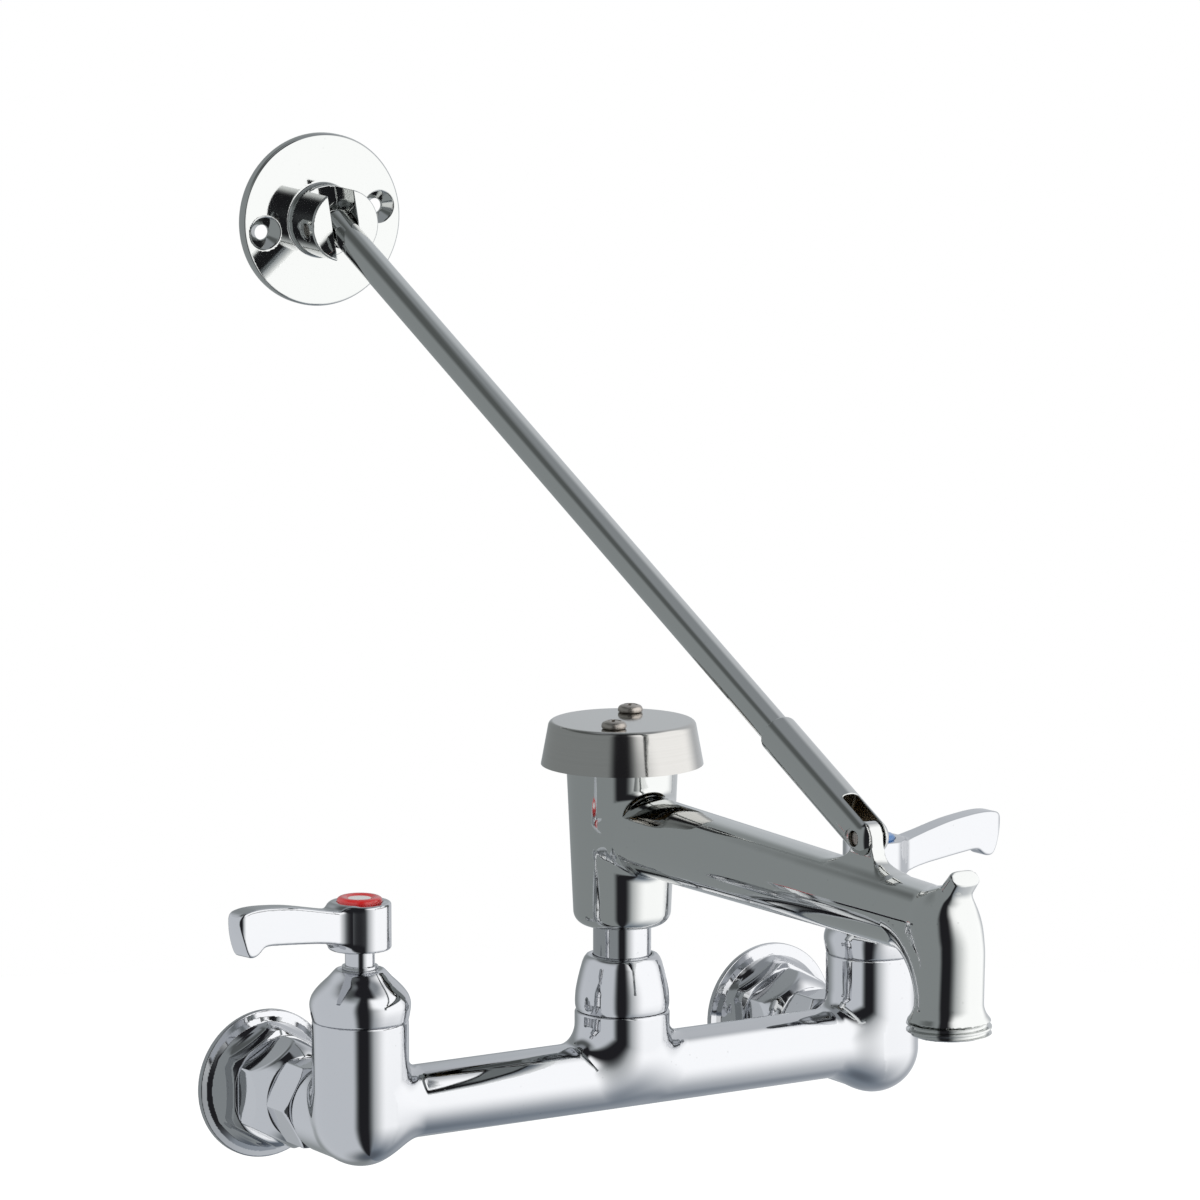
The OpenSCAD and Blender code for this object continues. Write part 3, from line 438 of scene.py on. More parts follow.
def body_field(x, y, z):
    """The cross bar, the valve barrels with their elbows and shanks, and the post."""
    elbow_z, boss_radius, boss_end, shank_end, inlet_bore, inlet_floor = 1.0, 14.8, -44.5, -38.0, 6.0, -49.6
    bar_z, bar_radius, bar_gap, bar_fillet, valve_fillet = 4.0, 12.0, 9.0, 7.0, 6.0
    post_radius, post_round, neck_foot, neck_top = 16.0, 12.0, 10.0, 36.0
    seat_radius, seat_z, thread_z, drill_radius, low_z = 10.5, 3.0, 22.0, 4.5, -5.0
    cross_z, cross_radius = 8.0, 5.0
    side = np.abs(x) - VALVE_X
    back = y + WALL_REACH
    upright, inlet, post_r = reach(side, back), reach(side, z), reach(x, back)
    barrel = np.where(z > elbow_z, upright, reach(side, back, z - elbow_z)) - BARREL_RADIUS
    barrel = blend_keep(barrel, z - BARREL_TOP, CAST_EDGE)
    boss = blend_keep(inlet - boss_radius, slab(y, -WALL_REACH, boss_end), 2 * CAST_EDGE)
    shank = blend_keep(inlet - SHANK_RADIUS, slab(y, -WALL_REACH, shank_end), TURNED_EDGE)
    elbow_fillet = np.interp(z, (-2.0, 10.0), (0.6, 4.0))
    valve = blend_join(blend_join(barrel, boss, elbow_fillet), shank, CAST_EDGE)
    bar = np.maximum(reach(back, z - bar_z) - bar_radius, side + bar_gap)
    post = blend_keep(post_r - post_radius, -z, post_round)
    post = blend_keep(post, z - POST_TOP, CAST_EDGE)
    solid = blend_join(blend_join(bar, post, bar_fillet), valve, valve_fillet)
    neck = blend_keep(post_r - NECK_RADIUS, slab(z, neck_foot, neck_top), 2 * FINE_EDGE)
    hollow = bored(
        (upright, seat_radius, z, seat_z),
        (upright, BONNET_THREAD + CLEARANCE, z, thread_z),
        (upright, drill_radius, z, low_z),
        (inlet, inlet_bore, y, inlet_floor),
        (reach(side, z - low_z), drill_radius, y, -WALL_REACH),
        (reach(back, z - cross_z), cross_radius, -side, 0.0),
        (post_r, TAIL_RADIUS + CLEARANCE, z, cross_z),
    )
    return blend_cut(np.minimum(solid, neck), hollow, FINE_EDGE)


def wall_disc_field(x, y, z):
    """A wall disc: thin rim, dished front and a hexagon, around the fitting."""
    flats, corner, root_fillet, lip = 36.4, 0.7, 2.2, 0.6
    hexagon_radius, crown_radius, crown_start = 20.1, 18.0, 11.1
    side, r, t = inlet_axes(x, y, z)
    plate = outline_distance(r, t, [(-30, lip), (24.7, lip), (24.7, 1.6), (22.9, 2.0), (21.0, 2.7),
                                    (19.4, 4.2), (17.2, 5.6), (-30, 5.6)]) - lip
    hexagon = hexagon_distance(side, z, flats, corner)
    hexagon = blend_keep(hexagon, slab(t, 2.0, DISC_FRONT), TURNED_EDGE)
    crown = taper(r, t, hexagon_radius, crown_start, crown_radius, DISC_FRONT)
    hexagon = blend_keep(hexagon, np.maximum(r - hexagon_radius, crown), FINE_EDGE)
    solid = blend_join(plate, hexagon, root_fillet)
    return blend_cut(solid, r - FITTING_RADIUS - CLEARANCE, SOFT_EDGE)


def fitting_field(x, y, z):
    """An inlet fitting: threaded ends and a hexagon with a turned, domed front."""
    step, length, socket_radius, socket_depth = 12.6, 36.0, 9.9, 19.0
    flats, hexagon_end, dome_radius = 32.7, 28.0, 20.6
    side, r, t = inlet_axes(x, y, z)
    tube = np.where(t < step, r - FITTING_RADIUS, r - FITTING_THREAD)
    tube = blend_keep(tube, slab(t, 0.0, length), TURNED_EDGE)
    hexagon = hexagon_distance(side, z, flats, CAST_EDGE)
    hexagon = blend_keep(hexagon, slab(t, DISC_FRONT, hexagon_end), SOFT_EDGE)
    hexagon = blend_keep(hexagon, reach(r, t - step) - dome_radius, 2 * FINE_EDGE)
    hexagon = blend_keep(hexagon, taper(r, t, 16.9, DISC_FRONT, 18.6, 13.6), FINE_EDGE)
    hollow = bored((r, socket_radius, -t, -socket_depth), (r, WATERWAY, t, THROUGH))
    return blend_cut(np.minimum(tube, hexagon), hollow, FINE_EDGE)


def union_nut_field(x, y, z):
    """A coupling nut, corners level with the bar."""
    flats, near, far, seat, corner_radius = 27.4, 28.6, 42.4, 40.8, 15.7
    side, r, t = inlet_axes(x, y, z)
    hexagon = blend_keep(hexagon_distance(z, side, flats, CAST_EDGE), slab(t, near, far), TURNED_EDGE)
    hexagon = blend_keep(hexagon, taper(r, t, 13.3, far, corner_radius, 41.0), SOFT_EDGE)
    hexagon = blend_keep(hexagon, taper(r, t, 13.6, near, corner_radius, 29.9), SOFT_EDGE)
    hollow = bored((r, FITTING_THREAD + CLEARANCE, -t, -seat), (r, SHANK_RADIUS + CLEARANCE, t, THROUGH))
    return blend_cut(hexagon, hollow, SOFT_EDGE)


def bonnet_outline():
    """A bonnet: bell outside, room for the cartridge inside."""
    thread, gland, room, shoulder, top = BONNET_THREAD, 5.95, 9.7, 41.0, 51.0
    bell = curve_through([(16.0, 34.3), (16.35, 36.0), (16.68, 38.3), (16.66, 40.0), (16.1, 41.9),
                          (14.9, 43.8), (12.9, 46.0), (10.6, 48.2), (8.9, 50.1)], 5)
    foot = [(thread, 24.0), (thread, BARREL_TOP), (15.7, BARREL_TOP)]
    inside = [(gland, top), (gland, shoulder), (room, shoulder), (room, 24.0)]
    return foot + bell + [(8.2, 50.8), (7.6, top)] + inside


def stem_outline():
    """A valve stem with the foot that turns the ceramic disc."""
    foot, low, high, bore_floor, top, edge = 7.85, 14.05, 16.05, 55.8, LEVER_Z + HUB_DEPTH, 0.2
    return rounded([(0, bore_floor), (0, low), (foot, low, edge), (foot, high, edge),
                    (STEM_RADIUS, high), (STEM_RADIUS, top, TURNED_EDGE), (SCREW_BORE, top),
                    (SCREW_BORE, bore_floor)])


def lever_field(sizes):
    """A lever, in the hub's own axes with the blade along x."""
    half = sizes.blade_width * 500.0
    edge = sizes.blade_edge * 1000.0
    hub_radius, hub_top, hub_edge, screw_head, screw_seat = 10.4, 15.6, 0.9, 3.95, 11.1
    blade_top, end_x, web = 20.2, 51.9, 3.6
    top = curve_through([(-4, 14.4), (8, 14.3), (12, 14.5), (18, 15.7), (25, 17.3), (32, 18.7),
                         (39, 19.6), (45, 20.1), (50, 20.0), (53.4, 19.2), (55.2, 17.8),
                         (55.6, 16.2)], 3)
    tip = curve_through([(55.6, 16.2), (54.9, 13.6), (53.4, 9.5), (52.0, 6.2), (51.0, 4.9),
                         (49.3, 4.4), (47.2, 4.9), (45.6, 6.0), (44.4, 6.9), (42.6, 7.25),
                         (38, 6.9), (28, 5.8), (17.7, 4.5), (11, 3.1), (-4, 1.2)], 3)
    outline = top + tip[1:]

    def field(x, y, z):
        width = half * np.interp(x, (9.0, 15.0, 22.0), (1.37, 1.12, 1.0))
        plan = reach(np.maximum(x - end_x, 0.0), y) - width
        blade = blend_keep(outline_distance(x, z, outline), plan, edge)
        r = reach(x, y)
        hub = blend_keep(r - hub_radius, slab(z, 0.0, hub_top), hub_edge)
        solid = np.maximum(blend_join(hub, blade, web), z - blade_top)
        hollow = bored(
            (r, STEM_RADIUS + CLEARANCE, -z, -HUB_DEPTH),
            (r, SCREW_BORE, z, THROUGH),
            (r, screw_head, z, screw_seat),
            (r, BUTTON_RADIUS + CLEARANCE, z, BUTTON_LOW),
        )
        return blend_cut(solid, hollow, FINE_EDGE)

    return field


def index_outline():
    """An index button: a round rim about a lower middle."""
    middle = 16.85
    rim = curve_through([(BUTTON_RADIUS, 15.9), (7.35, 16.7), (6.75, 17.2), (5.9, 17.4),
                         (4.9, 17.25), (4.1, 16.95), (3.7, middle)], 3)
    return [(0, BUTTON_LOW), (BUTTON_RADIUS, BUTTON_LOW)] + rim + [(0, middle)]


def collar_outline():
    """The collar nut: a barrel shape over the post's neck."""
    thread, low, lip, lip_low, top = NECK_RADIUS + CLEARANCE, POST_TOP + CLEARANCE, 10.05, 39.3, 44.6
    barrel = curve_through([(15.9, 29.0), (15.7, 32.0), (15.1, 35.4), (14.3, 38.8), (13.4, 42.0)], 5)
    foot = [(thread, low), (15.2, low), (15.55, 26.1), (15.85, 27.4)]
    crown = [(12.8, 43.4), (12.1, 44.3), (11.2, top)]
    return foot + barrel + crown + [(lip, top), (lip, lip_low), (thread, lip_low)]


def riser_outline():
    """The riser tube with its tail, its ring groove and its two seal grooves."""
    bore, foot, groove, groove_height, shoulder, ring_groove = 6.5, 12.3, 7.45, 3.0, 36.3, 8.85
    line = [(bore, foot), (TAIL_RADIUS, foot, SOFT_EDGE)]
    for low in (19.92, 27.6):
        high = low + groove_height
        line += [(TAIL_RADIUS, low), (groove, low), (groove, high), (TAIL_RADIUS, high)]
    line += [(TAIL_RADIUS, shoulder), (RISER_RADIUS, shoulder), (RISER_RADIUS, 37.0),
             (ring_groove, 37.0), (ring_groove, 39.0), (RISER_RADIUS, 39.0)]
    return rounded(line + [(RISER_RADIUS, RISER_TOP), (bore, RISER_TOP)])


def spout_upright(post_r, z):
    """The spout's upright body, which widens to the vacuum breaker."""
    low, top, foot_round = 55.0, 112.0, 4.5
    upright = blend_keep(taper(post_r, z, 16.4, low + foot_round, 18.8, top), low - z, foot_round)
    return blend_keep(upright, z - top, 2 * FINE_EDGE)


def spout_elbow(x, out, z):
    """The elbow's drop and bend, which join the arm and the outlet."""
    drop_top, drop_low, drop_end = (0, SPOUT_REACH + 0.5, 78.5), (0, SPOUT_REACH - 0.3, 59.0), 56.0
    bend, side_radius, top_radius, squash = 24.5, 10.88, 11.42, 1.25
    drop = rod_distance(x, out, z, drop_top, drop_low, 10.8, 11.0)
    bend_out, bend_z = SPOUT_REACH - bend, ARM_Z - bend
    outer = reach(out - bend_out, z - bend_z) - bend
    curve = reach(x, np.where(outer > 0.0, squash * outer, outer))
    curve -= np.interp(z, (bend_z, ARM_Z), (side_radius, top_radius))
    quarter = np.maximum(bend_out - out, bend_z - z)
    return np.maximum(drop, drop_end - z), np.maximum(curve, quarter)


def spout_lug(x, ahead, rise):
    """The lug that holds the brace, on a foot that runs into the arm."""
    ear, half, foot = 5.3, 2.6, -16.0
    front = curve_through([(ear, 0.0), (5.7, -3.6), (7.6, -7.2), (11.0, -9.6), (15.0, -11.0)], 4)
    rear = curve_through([(-19.0, -12.8), (-14.2, -10.2), (-10.4, -8.0), (-7.4, -5.4), (-5.7, -2.4),
                          (-ear, 0.0)], 4)
    plate = outline_distance(ahead, rise, front + [(15.0, foot), (-19.0, foot)] + rear)
    return blend_keep(np.minimum(plate, reach(ahead, rise) - ear), np.abs(x) - half, TURNED_EDGE)


def spout_hook(x, out, z):
    """The pail hook: an oval horn that leans outwards over the elbow."""
    start, end, half, length, power = np.array((-5.5, 90.0)), np.array((8.15, 104.75)), 5.25, 20.1, 2.6
    way = (end - start) / math.dist(start, end)
    horn_out, horn_up = out - SPOUT_REACH - start[0], z - start[1]
    along = horn_out * way[0] + horn_up * way[1]
    across = horn_out * way[1] - horn_up * way[0]
    thick = np.interp(along, (0.0, 12.0, length), (6.4, 3.7, 3.1))
    oval = (np.abs(x / half) ** power + np.abs(across / thick) ** power) ** (1.0 / power)
    return blend_keep((oval - 1.0) * thick, slab(along, 0.0, length), 2 * FINE_EDGE)


def spout_field(x, y, z):
    """The spout casting: upright body, arm, elbow, outlet, lug and pail hook."""
    arm_start, arm_end, arm_fillet, elbow_ball, elbow_fillet = 13.6, 11.2, 3.2, 9.4, 5.0
    lug_fillet, hook_fillet, thread_root, flare, flare_low, outlet_step = 4.0, 4.5, 12.0, 13.2, 57.9, 61.4
    chamber_radius, chamber_z, passage_top, outlet_bore = 13.2, 80.0, 82.0, 8.5
    back = y + WALL_REACH
    out = -back
    post_r, arm_r, outlet_r = reach(x, back), reach(x, z - ARM_Z), reach(x, out - SPOUT_REACH)
    end = SPOUT_REACH - 6.0
    arm = np.maximum(taper(arm_r, out, arm_start, 0.0, arm_end, end), slab(out, 0.0, end))
    arm = np.minimum(arm, reach(x, out - end, z - ARM_Z) - arm_end)
    solid = blend_join(spout_upright(post_r, z), arm, arm_fillet)
    corner = reach(x, out - SPOUT_REACH, z - ARM_Z)
    solid = blend_join(solid, corner - elbow_ball, elbow_fillet)
    drop, bend = spout_elbow(x, out, z)
    solid = np.minimum(blend_join(solid, drop, elbow_fillet), bend)
    ahead, rise = out - (-FORK_PIN[1] - WALL_REACH), z - FORK_PIN[2]
    solid = blend_join(solid, spout_lug(x, ahead, rise), lug_fillet)
    solid = blend_join(solid, spout_hook(x, out, z), hook_fillet)
    cone = taper(outlet_r, z, flare, flare_low + FINE_EDGE, 10.8, outlet_step)
    cone = blend_keep(cone, slab(z, flare_low, 63.0), FINE_EDGE)
    root = blend_keep(outlet_r - thread_root, slab(z, OUTLET_LOW, 60.0), FINE_EDGE)
    solid = np.minimum(blend_join(solid, cone, 1.2), root)
    hollow = bored(
        (post_r, RISER_RADIUS + CLEARANCE, -z, -RISER_TOP),
        (post_r, WATERWAY, -z, -passage_top),
        (post_r, chamber_radius, z, chamber_z),
        (outlet_r, WATERWAY, -z, -ARM_Z),
        (outlet_r, outlet_bore, -z, -outlet_step),
        (corner, WATERWAY, z, THROUGH),
        (reach(ahead, rise), PIN_RADIUS + CLEARANCE, z, THROUGH),
    )
    hollow = np.minimum(hollow, np.maximum(arm_r - WATERWAY, slab(out, 0.0, SPOUT_REACH)))
    return blend_cut(solid, hollow, 0.35)


def hose_thread(sizes, count=192, rows=56):
    """The outlet's hose thread as a closed helical band."""
    pitch = sizes.thread_pitch * 1000.0
    depth = sizes.thread_depth * 1000.0
    crest, low, high, inner, run_out, sink = 13.42, OUTLET_LOW + 0.1, 57.95, 11.4, 0.5, 0.9
    turn = np.arange(count) * 2 * math.pi / count
    height = low + (high - low) * np.arange(rows) / (rows - 1)
    turns, heights = np.meshgrid(turn, height, indexing="ij")
    phase = (heights / pitch - turns / (2 * math.pi)) % 1.0
    ridge = np.clip(1.5 - np.abs(phase - 0.5) * 4.4, 0.0, 1.0)
    ridge = ridge * ridge * (3 - 2 * ridge)
    fade = np.clip(np.minimum(heights - low, high - heights) / run_out, 0.0, 1.0)
    radius = crest - depth + depth * ridge * fade - sink * (1.0 - fade)
    levels = [(radius[:, k], height[k]) for k in range(rows)] + [(inner, high), (inner, low)]
    grid = np.stack([np.stack([r * np.cos(turn), r * np.sin(turn), z + 0 * turn], 1) for r, z in levels])
    around = np.roll(grid, -1, 1) - np.roll(grid, 1, 1)
    along = np.roll(grid, -1, 0) - np.roll(grid, 1, 0)
    normals = np.cross(around, along)
    normals /= np.linalg.norm(normals, axis=2)[..., None]
    faces = []
    for i in range(len(levels)):
        here, above = i * count, (i + 1) % len(levels) * count
        for k in range(count):
            m = (k + 1) % count
            faces.append((here + k, here + m, above + m, above + k))
    points = grid.reshape(-1, 3)
    points[:, 1] -= WALL_REACH + SPOUT_REACH
    return points, faces, normals.reshape(-1, 3)


def cap_outline():
    """The vacuum breaker's cap, a drawn cup of one wall."""
    wall, low, foot_radius, top_radius, outer_round, inner_round = 1.6, 109.6, 27.2, 24.5, 1.8, 0.6
    ceiling = CAP_TOP - wall
    outside = rounded([(foot_radius, low), (top_radius, CAP_TOP, outer_round), (0, CAP_TOP)], 7)
    inside = rounded([(0, ceiling), (top_radius - wall, ceiling, inner_round),
                      (foot_radius - wall, low)], 4)
    return outside + inside


def cap_screw_field(x, y, z):
    """A pan-head screw with a cross, its head's underside at zero."""
    head_radius, head_height, dome, dome_low, shank, length = 4.2, 3.0, 8.4, 5.4, 1.95, 20.0
    arm_reach, arm_half, cross_floor = 2.4, 0.55, 1.5
    r = reach(x, y)
    head = blend_keep(reach(r, z + dome_low) - dome, slab(z, 0.0, head_height), FINE_EDGE)
    head = blend_keep(head, r - head_radius, CAST_EDGE)
    solid = np.minimum(head, np.maximum(r - shank, slab(z, -length, 1.0)))
    narrowing = 0.25 * np.clip(head_height - z, 0.0, 2.0)
    arms = union(*(
        np.maximum(np.abs(u) - arm_reach + narrowing, np.abs(v) - arm_half + 0.3 * narrowing)
        for u, v in ((x, y), (y, x))
    ))
    return blend_cut(solid, np.maximum(arms, cross_floor - z), 0.12)


def sleeve_field(x, y, z):
    """The brace's sleeve, forked at its lower end; y runs along the rod."""
    radius, length, end_round = 6.55, 58.0, 0.7
    slot_half, slot_end, slot_round, seat_radius, seat_face = 2.9, 14.7, 1.0, 3.6, 6.0
    r = reach(x, z)
    pin = reach(y, z)
    tube = np.where(y > 0.0, r, reach(x, y, z)) - radius
    tube = blend_keep(tube, y - length, end_round)
    hollow = union(
        blend_keep(np.abs(x) - slot_half, y - slot_end, slot_round),
        bored((r, ROD_RADIUS + CLEARANCE, y, 20.7), (pin, PIN_RADIUS + CLEARANCE, y, THROUGH),
              (pin, seat_radius, np.abs(x), seat_face)),
    )
    return blend_cut(tube, hollow, FINE_EDGE)


def rod_field(x, y, z):
    """The brace's rod, with two flats and a round end at the upper pivot."""
    start, flat_half, flat_length = 21.0, 4.6, 14.0
    rod = np.where(y < ROD_LENGTH, reach(x, z), reach(x, y - ROD_LENGTH, z)) - ROD_RADIUS
    rod = blend_keep(rod, start - y, SOFT_EDGE)
    flats = np.maximum(flat_half - np.abs(x), ROD_LENGTH - flat_length - y)
    rod = blend_cut(rod, flats, FINE_EDGE)
    return blend_cut(rod, reach(y - ROD_LENGTH, z) - PIN_RADIUS - CLEARANCE, FINE_EDGE)


def flange_field(x, y, z):
    """The brace's wall flange: disc, slotted boss and two countersunk holes; y is its back."""
    disc_radius, disc_round, front, rear = 30.8, 1.1, 12.4, 16.9
    boss_radius, boss_round, boss_front, slot_half, slot_end = 12.9, 0.7, -7.0, 4.9, 8.15
    hole_side, hole_radius, sink_radius, sink_end = 22.5, 2.65, 5.9, 15.65
    seat_radius, seat_face, root_fillet = 3.8, 12.3, 1.0
    r = reach(x, z)
    disc = blend_keep(r - disc_radius, slab(y, front, rear), disc_round)
    boss = blend_keep(r - boss_radius, slab(y, boss_front, 14.0), boss_round)
    pin = reach(y, z)
    hole = reach(np.abs(x) - hole_side, z)
    sink = taper(hole, y, sink_radius, front, hole_radius, sink_end)
    hollow = union(
        np.maximum(np.abs(x) - slot_half, y - slot_end),
        np.maximum(sink, front - 1.0 - y),
        bored((pin, PIN_RADIUS + CLEARANCE, y, THROUGH), (pin, seat_radius, np.abs(x), seat_face),
              (hole, hole_radius, y, THROUGH)),
    )
    return blend_cut(blend_join(disc, boss, root_fillet), hollow, 0.35)


def pin_mesh(half):
    """A pivot pin with chamfered ends, along x about its middle."""
    outline = [(0, -half), (PIN_RADIUS, -half, 0.5), (PIN_RADIUS, half, 0.5), (0, half)]
    return placed(turned_mesh(rounded(outline, 4), count=48), x=(0, 1, 0), y=(0, 0, 1))


# Materials


def feed(tree, node, **values):
    """Set or link a node's inputs, each by its name or as input0, input1 and so on."""
    for name, value in values.items():
        key = int(name[5:]) if name.startswith("input") else name.replace("_", " ")
        if isinstance(value, bpy.types.NodeSocket):
            tree.links.new(value, node.inputs[key])
        else:
            node.inputs[key].default_value = value


def add_node(tree, kind, **settings):
    """A shader node with its settings; what isn't a setting of the node goes to its inputs."""
    new = tree.nodes.new(kind)
    own = [name for name in settings if hasattr(new, name)]
    for name in own:
        setattr(new, name, settings.pop(name))
    feed(tree, new, **settings)
    return new


def math_node(tree, operation, *values, clamp=False):
    """The result of one sum on values or sockets."""
    inputs = {f"input{i}": value for i, value in enumerate(values)}
    return add_node(tree, "ShaderNodeMath", operation=operation, use_clamp=clamp, **inputs).outputs[0]


def ramp_between(tree, value, low, high):
    """Zero below low, one above high, and a smooth step between."""
    step = add_node(tree, "ShaderNodeMapRange", interpolation_type="SMOOTHSTEP", input0=value,
                    input1=low, input2=high)
    return step.outputs[0]


def fall_between(tree, value, low, high):
    """One below low, zero above high, and a smooth step between."""
    return math_node(tree, "SUBTRACT", 1.0, ramp_between(tree, value, low, high))


def product(tree, *factors):
    """The product of values or sockets."""
    total = factors[0]
    for factor in factors[1:]:
        total = math_node(tree, "MULTIPLY", total, factor)
    return total


def new_group(name, inputs, outputs):
    """An empty shader node group with float inputs (name, default) and outputs."""
    group = bpy.data.node_groups.new(name, "ShaderNodeTree")
    for label, default in inputs:
        socket = group.interface.new_socket(label, in_out="INPUT", socket_type="NodeSocketFloat")
        socket.default_value = default
    for label in outputs:
        group.interface.new_socket(label, in_out="OUTPUT", socket_type="NodeSocketFloat")
    return group, group.nodes.new("NodeGroupInput"), group.nodes.new("NodeGroupOutput")


def cast_relief_group():
    """Slow waves of a hand-polished casting and the faint lines that buffing leaves."""
    group, given, result = new_group(
        "Cast Relief", [("Wave Size", 60.0), ("Line Size", 900.0)], ["Waves", "Lines"]
    )
    place = add_node(group, "ShaderNodeTexCoord").outputs["Object"]
    waves = add_node(group, "ShaderNodeTexNoise", input0=place, Scale=given.outputs["Wave Size"],
                     Detail=1.0).outputs["Fac"]
    stretch = add_node(group, "ShaderNodeMapping", input0=place, Scale=(1.0, 0.12, 0.35)).outputs[0]
    lines = add_node(group, "ShaderNodeTexNoise", input0=stretch, Scale=given.outputs["Line Size"],
                     Detail=2.0).outputs["Fac"]
    feed(group, result, Waves=waves, Lines=lines)
    return group


def handling_group():
    """Dried water spots and a haze of fingerprints, as masks."""
    group, given, result = new_group(
        "Handling Marks", [("Spot Size", 420.0), ("Haze Size", 38.0)], ["Spots", "Haze"]
    )
    place = add_node(group, "ShaderNodeTexCoord").outputs["Object"]
    cells = add_node(group, "ShaderNodeTexVoronoi", input0=place, Scale=given.outputs["Spot Size"],
                     Randomness=1.0)
    near = fall_between(group, cells.outputs["Distance"], 0.04, 0.16)
    rare = add_node(group, "ShaderNodeTexNoise", input0=place, Scale=70.0, Detail=0.0)
    rare = ramp_between(group, rare.outputs["Fac"], 0.58, 0.72)
    haze = add_node(group, "ShaderNodeTexNoise", input0=place, Scale=given.outputs["Haze Size"],
                    Detail=3.0).outputs["Fac"]
    feed(group, result, Spots=product(group, near, rare), Haze=ramp_between(group, haze, 0.42, 0.7))
    return group


def place_group(tree, group, **values):
    """A group placed in a material's tree with its own values."""
    placed_node = add_node(tree, "ShaderNodeGroup", node_tree=bpy.data.node_groups[group])
    feed(tree, placed_node, **values)
    return placed_node.outputs


def new_material(name):
    """A material with its tree, its shader and the sockets it is built on."""
    material = bpy.data.materials.new(f"faucet_{name}")
    material.use_nodes = True
    tree = material.node_tree
    return material, tree, tree.nodes["Principled BSDF"]


def mixed(tree, colour, mask, behind):
    """One colour over another by a mask; either may be a socket."""
    over, under = (c if isinstance(c, bpy.types.NodeSocket) else (*c, 1.0) for c in (colour, behind))
    mix = add_node(tree, "ShaderNodeMix", data_type="RGBA", Factor=mask, A=under, B=over)
    return mix.outputs["Result"]


def add_relief(tree, shader, *layers):
    """Bump layers, each a height socket with its depth in metres."""
    below = None
    for height, depth in layers:
        bump = add_node(tree, "ShaderNodeBump", Distance=depth, Strength=1.0, Height=height)
        if below is not None:
            feed(tree, bump, Normal=below)
        below = bump.outputs["Normal"]
    feed(tree, shader, Normal=below)


def set_roughness(tree, shader, base, *layers):
    """Roughness as a base with masks that add to it."""
    total = None
    for mask, amount in layers:
        total = math_node(tree, "ADD", product(tree, mask, amount), base if total is None else total)
    feed(tree, shader, Roughness=total)


def chrome_material(name, colour, roughness, wave_depth):
    """Polished chrome plate over cast or turned brass."""
    material, tree, shader = new_material(name)
    relief = place_group(tree, "Cast Relief", Wave_Size=46.0, Line_Size=1500.0)
    marks = place_group(tree, "Handling Marks", Spot_Size=360.0, Haze_Size=30.0)
    dusty = tuple(0.86 * part for part in colour)
    feed(tree, shader, Metallic=1.0, Base_Color=mixed(tree, dusty, marks["Spots"], colour))
    set_roughness(tree, shader, roughness, (marks["Spots"], 0.12), (marks["Haze"], 0.025),
                  (relief["Lines"], 0.015))
    add_relief(tree, shader, (relief["Waves"], wave_depth), (relief["Lines"], wave_depth * 0.004))
    return material


def slot_shade_group():
    """How deep a place lies in a slot or bore, from 0 in the open to 1, by ambient occlusion: the mask of
    the painted shade in slots.
    """
    group, given, result = new_group("Slot Shade Depth", [("Reach", 0.01)], ["Depth"])
    shade = add_node(group, "ShaderNodeAmbientOcclusion", samples=12, only_local=True,
                     Distance=given.outputs["Reach"])
    feed(group, result, Depth=ramp_between(group, shade.outputs["AO"], 0.8, 0.5))
    return group


def slot_shaded_material(name, colour, roughness, wave_depth):
    """Polished chrome whose sawn slots are dull, with painted shade: the base colour turns dark brown where
    a slot is deep.
    """
    # dark is the colour of the painted shade in the slots; dull is their roughness
    dark, dull = (0.21, 0.17, 0.12), 0.3
    material = chrome_material(name, colour, roughness, wave_depth)
    tree = material.node_tree
    shader = tree.nodes["Principled BSDF"]
    slot_shade = place_group(tree, "Slot Shade Depth", Reach=0.009)["Depth"]
    plate, gloss = (shader.inputs[name].links[0].from_socket for name in ("Base Color", "Roughness"))
    worn = add_node(tree, "ShaderNodeMapRange", input0=slot_shade, input3=gloss, input4=dull).outputs[0]
    # Painted shade: the base colour turns dark brown deep in the slots, by the occlusion mask
    feed(tree, shader, Base_Color=mixed(tree, dark, slot_shade, plate), Roughness=worn)
    return material


def about_axis(tree, centre_x):
    """Distance from the upright axis of the post or a valve, and height, in metres."""
    place = add_node(tree, "ShaderNodeTexCoord").outputs["Object"]
    middle = (-centre_x * 0.001, WALL_REACH * 0.001, 0.0)
    shifted = add_node(tree, "ShaderNodeVectorMath", operation="ADD", input0=place,
                       input1=middle).outputs[0]
    flat = add_node(tree, "ShaderNodeVectorMath", operation="MULTIPLY", input0=shifted,
                    input1=(1.0, 1.0, 0.0)).outputs[0]
    radius = add_node(tree, "ShaderNodeVectorMath", operation="LENGTH", input0=flat)
    return radius.outputs["Value"], add_node(tree, "ShaderNodeSeparateXYZ", input0=shifted).outputs[2]


def satin_material(name, colour, roughness):
    """Spun stainless steel: fine rings about the post's axis."""
    material, tree, shader = new_material(name)
    radius, height = about_axis(tree, 0.0)
    along = add_node(tree, "ShaderNodeCombineXYZ", X=radius, Z=height).outputs[0]
    rings = add_node(tree, "ShaderNodeTexNoise", input0=along, Scale=1900.0, Detail=2.0).outputs["Fac"]
    marks = place_group(tree, "Handling Marks", Spot_Size=300.0, Haze_Size=40.0)
    worn = tuple(0.9 * part for part in colour)
    feed(tree, shader, Metallic=1.0, Base_Color=mixed(tree, worn, rings, colour))
    set_roughness(tree, shader, roughness, (rings, 0.05), (marks["Haze"], 0.03))
    add_relief(tree, shader, (rings, 0.0000012))
    return material


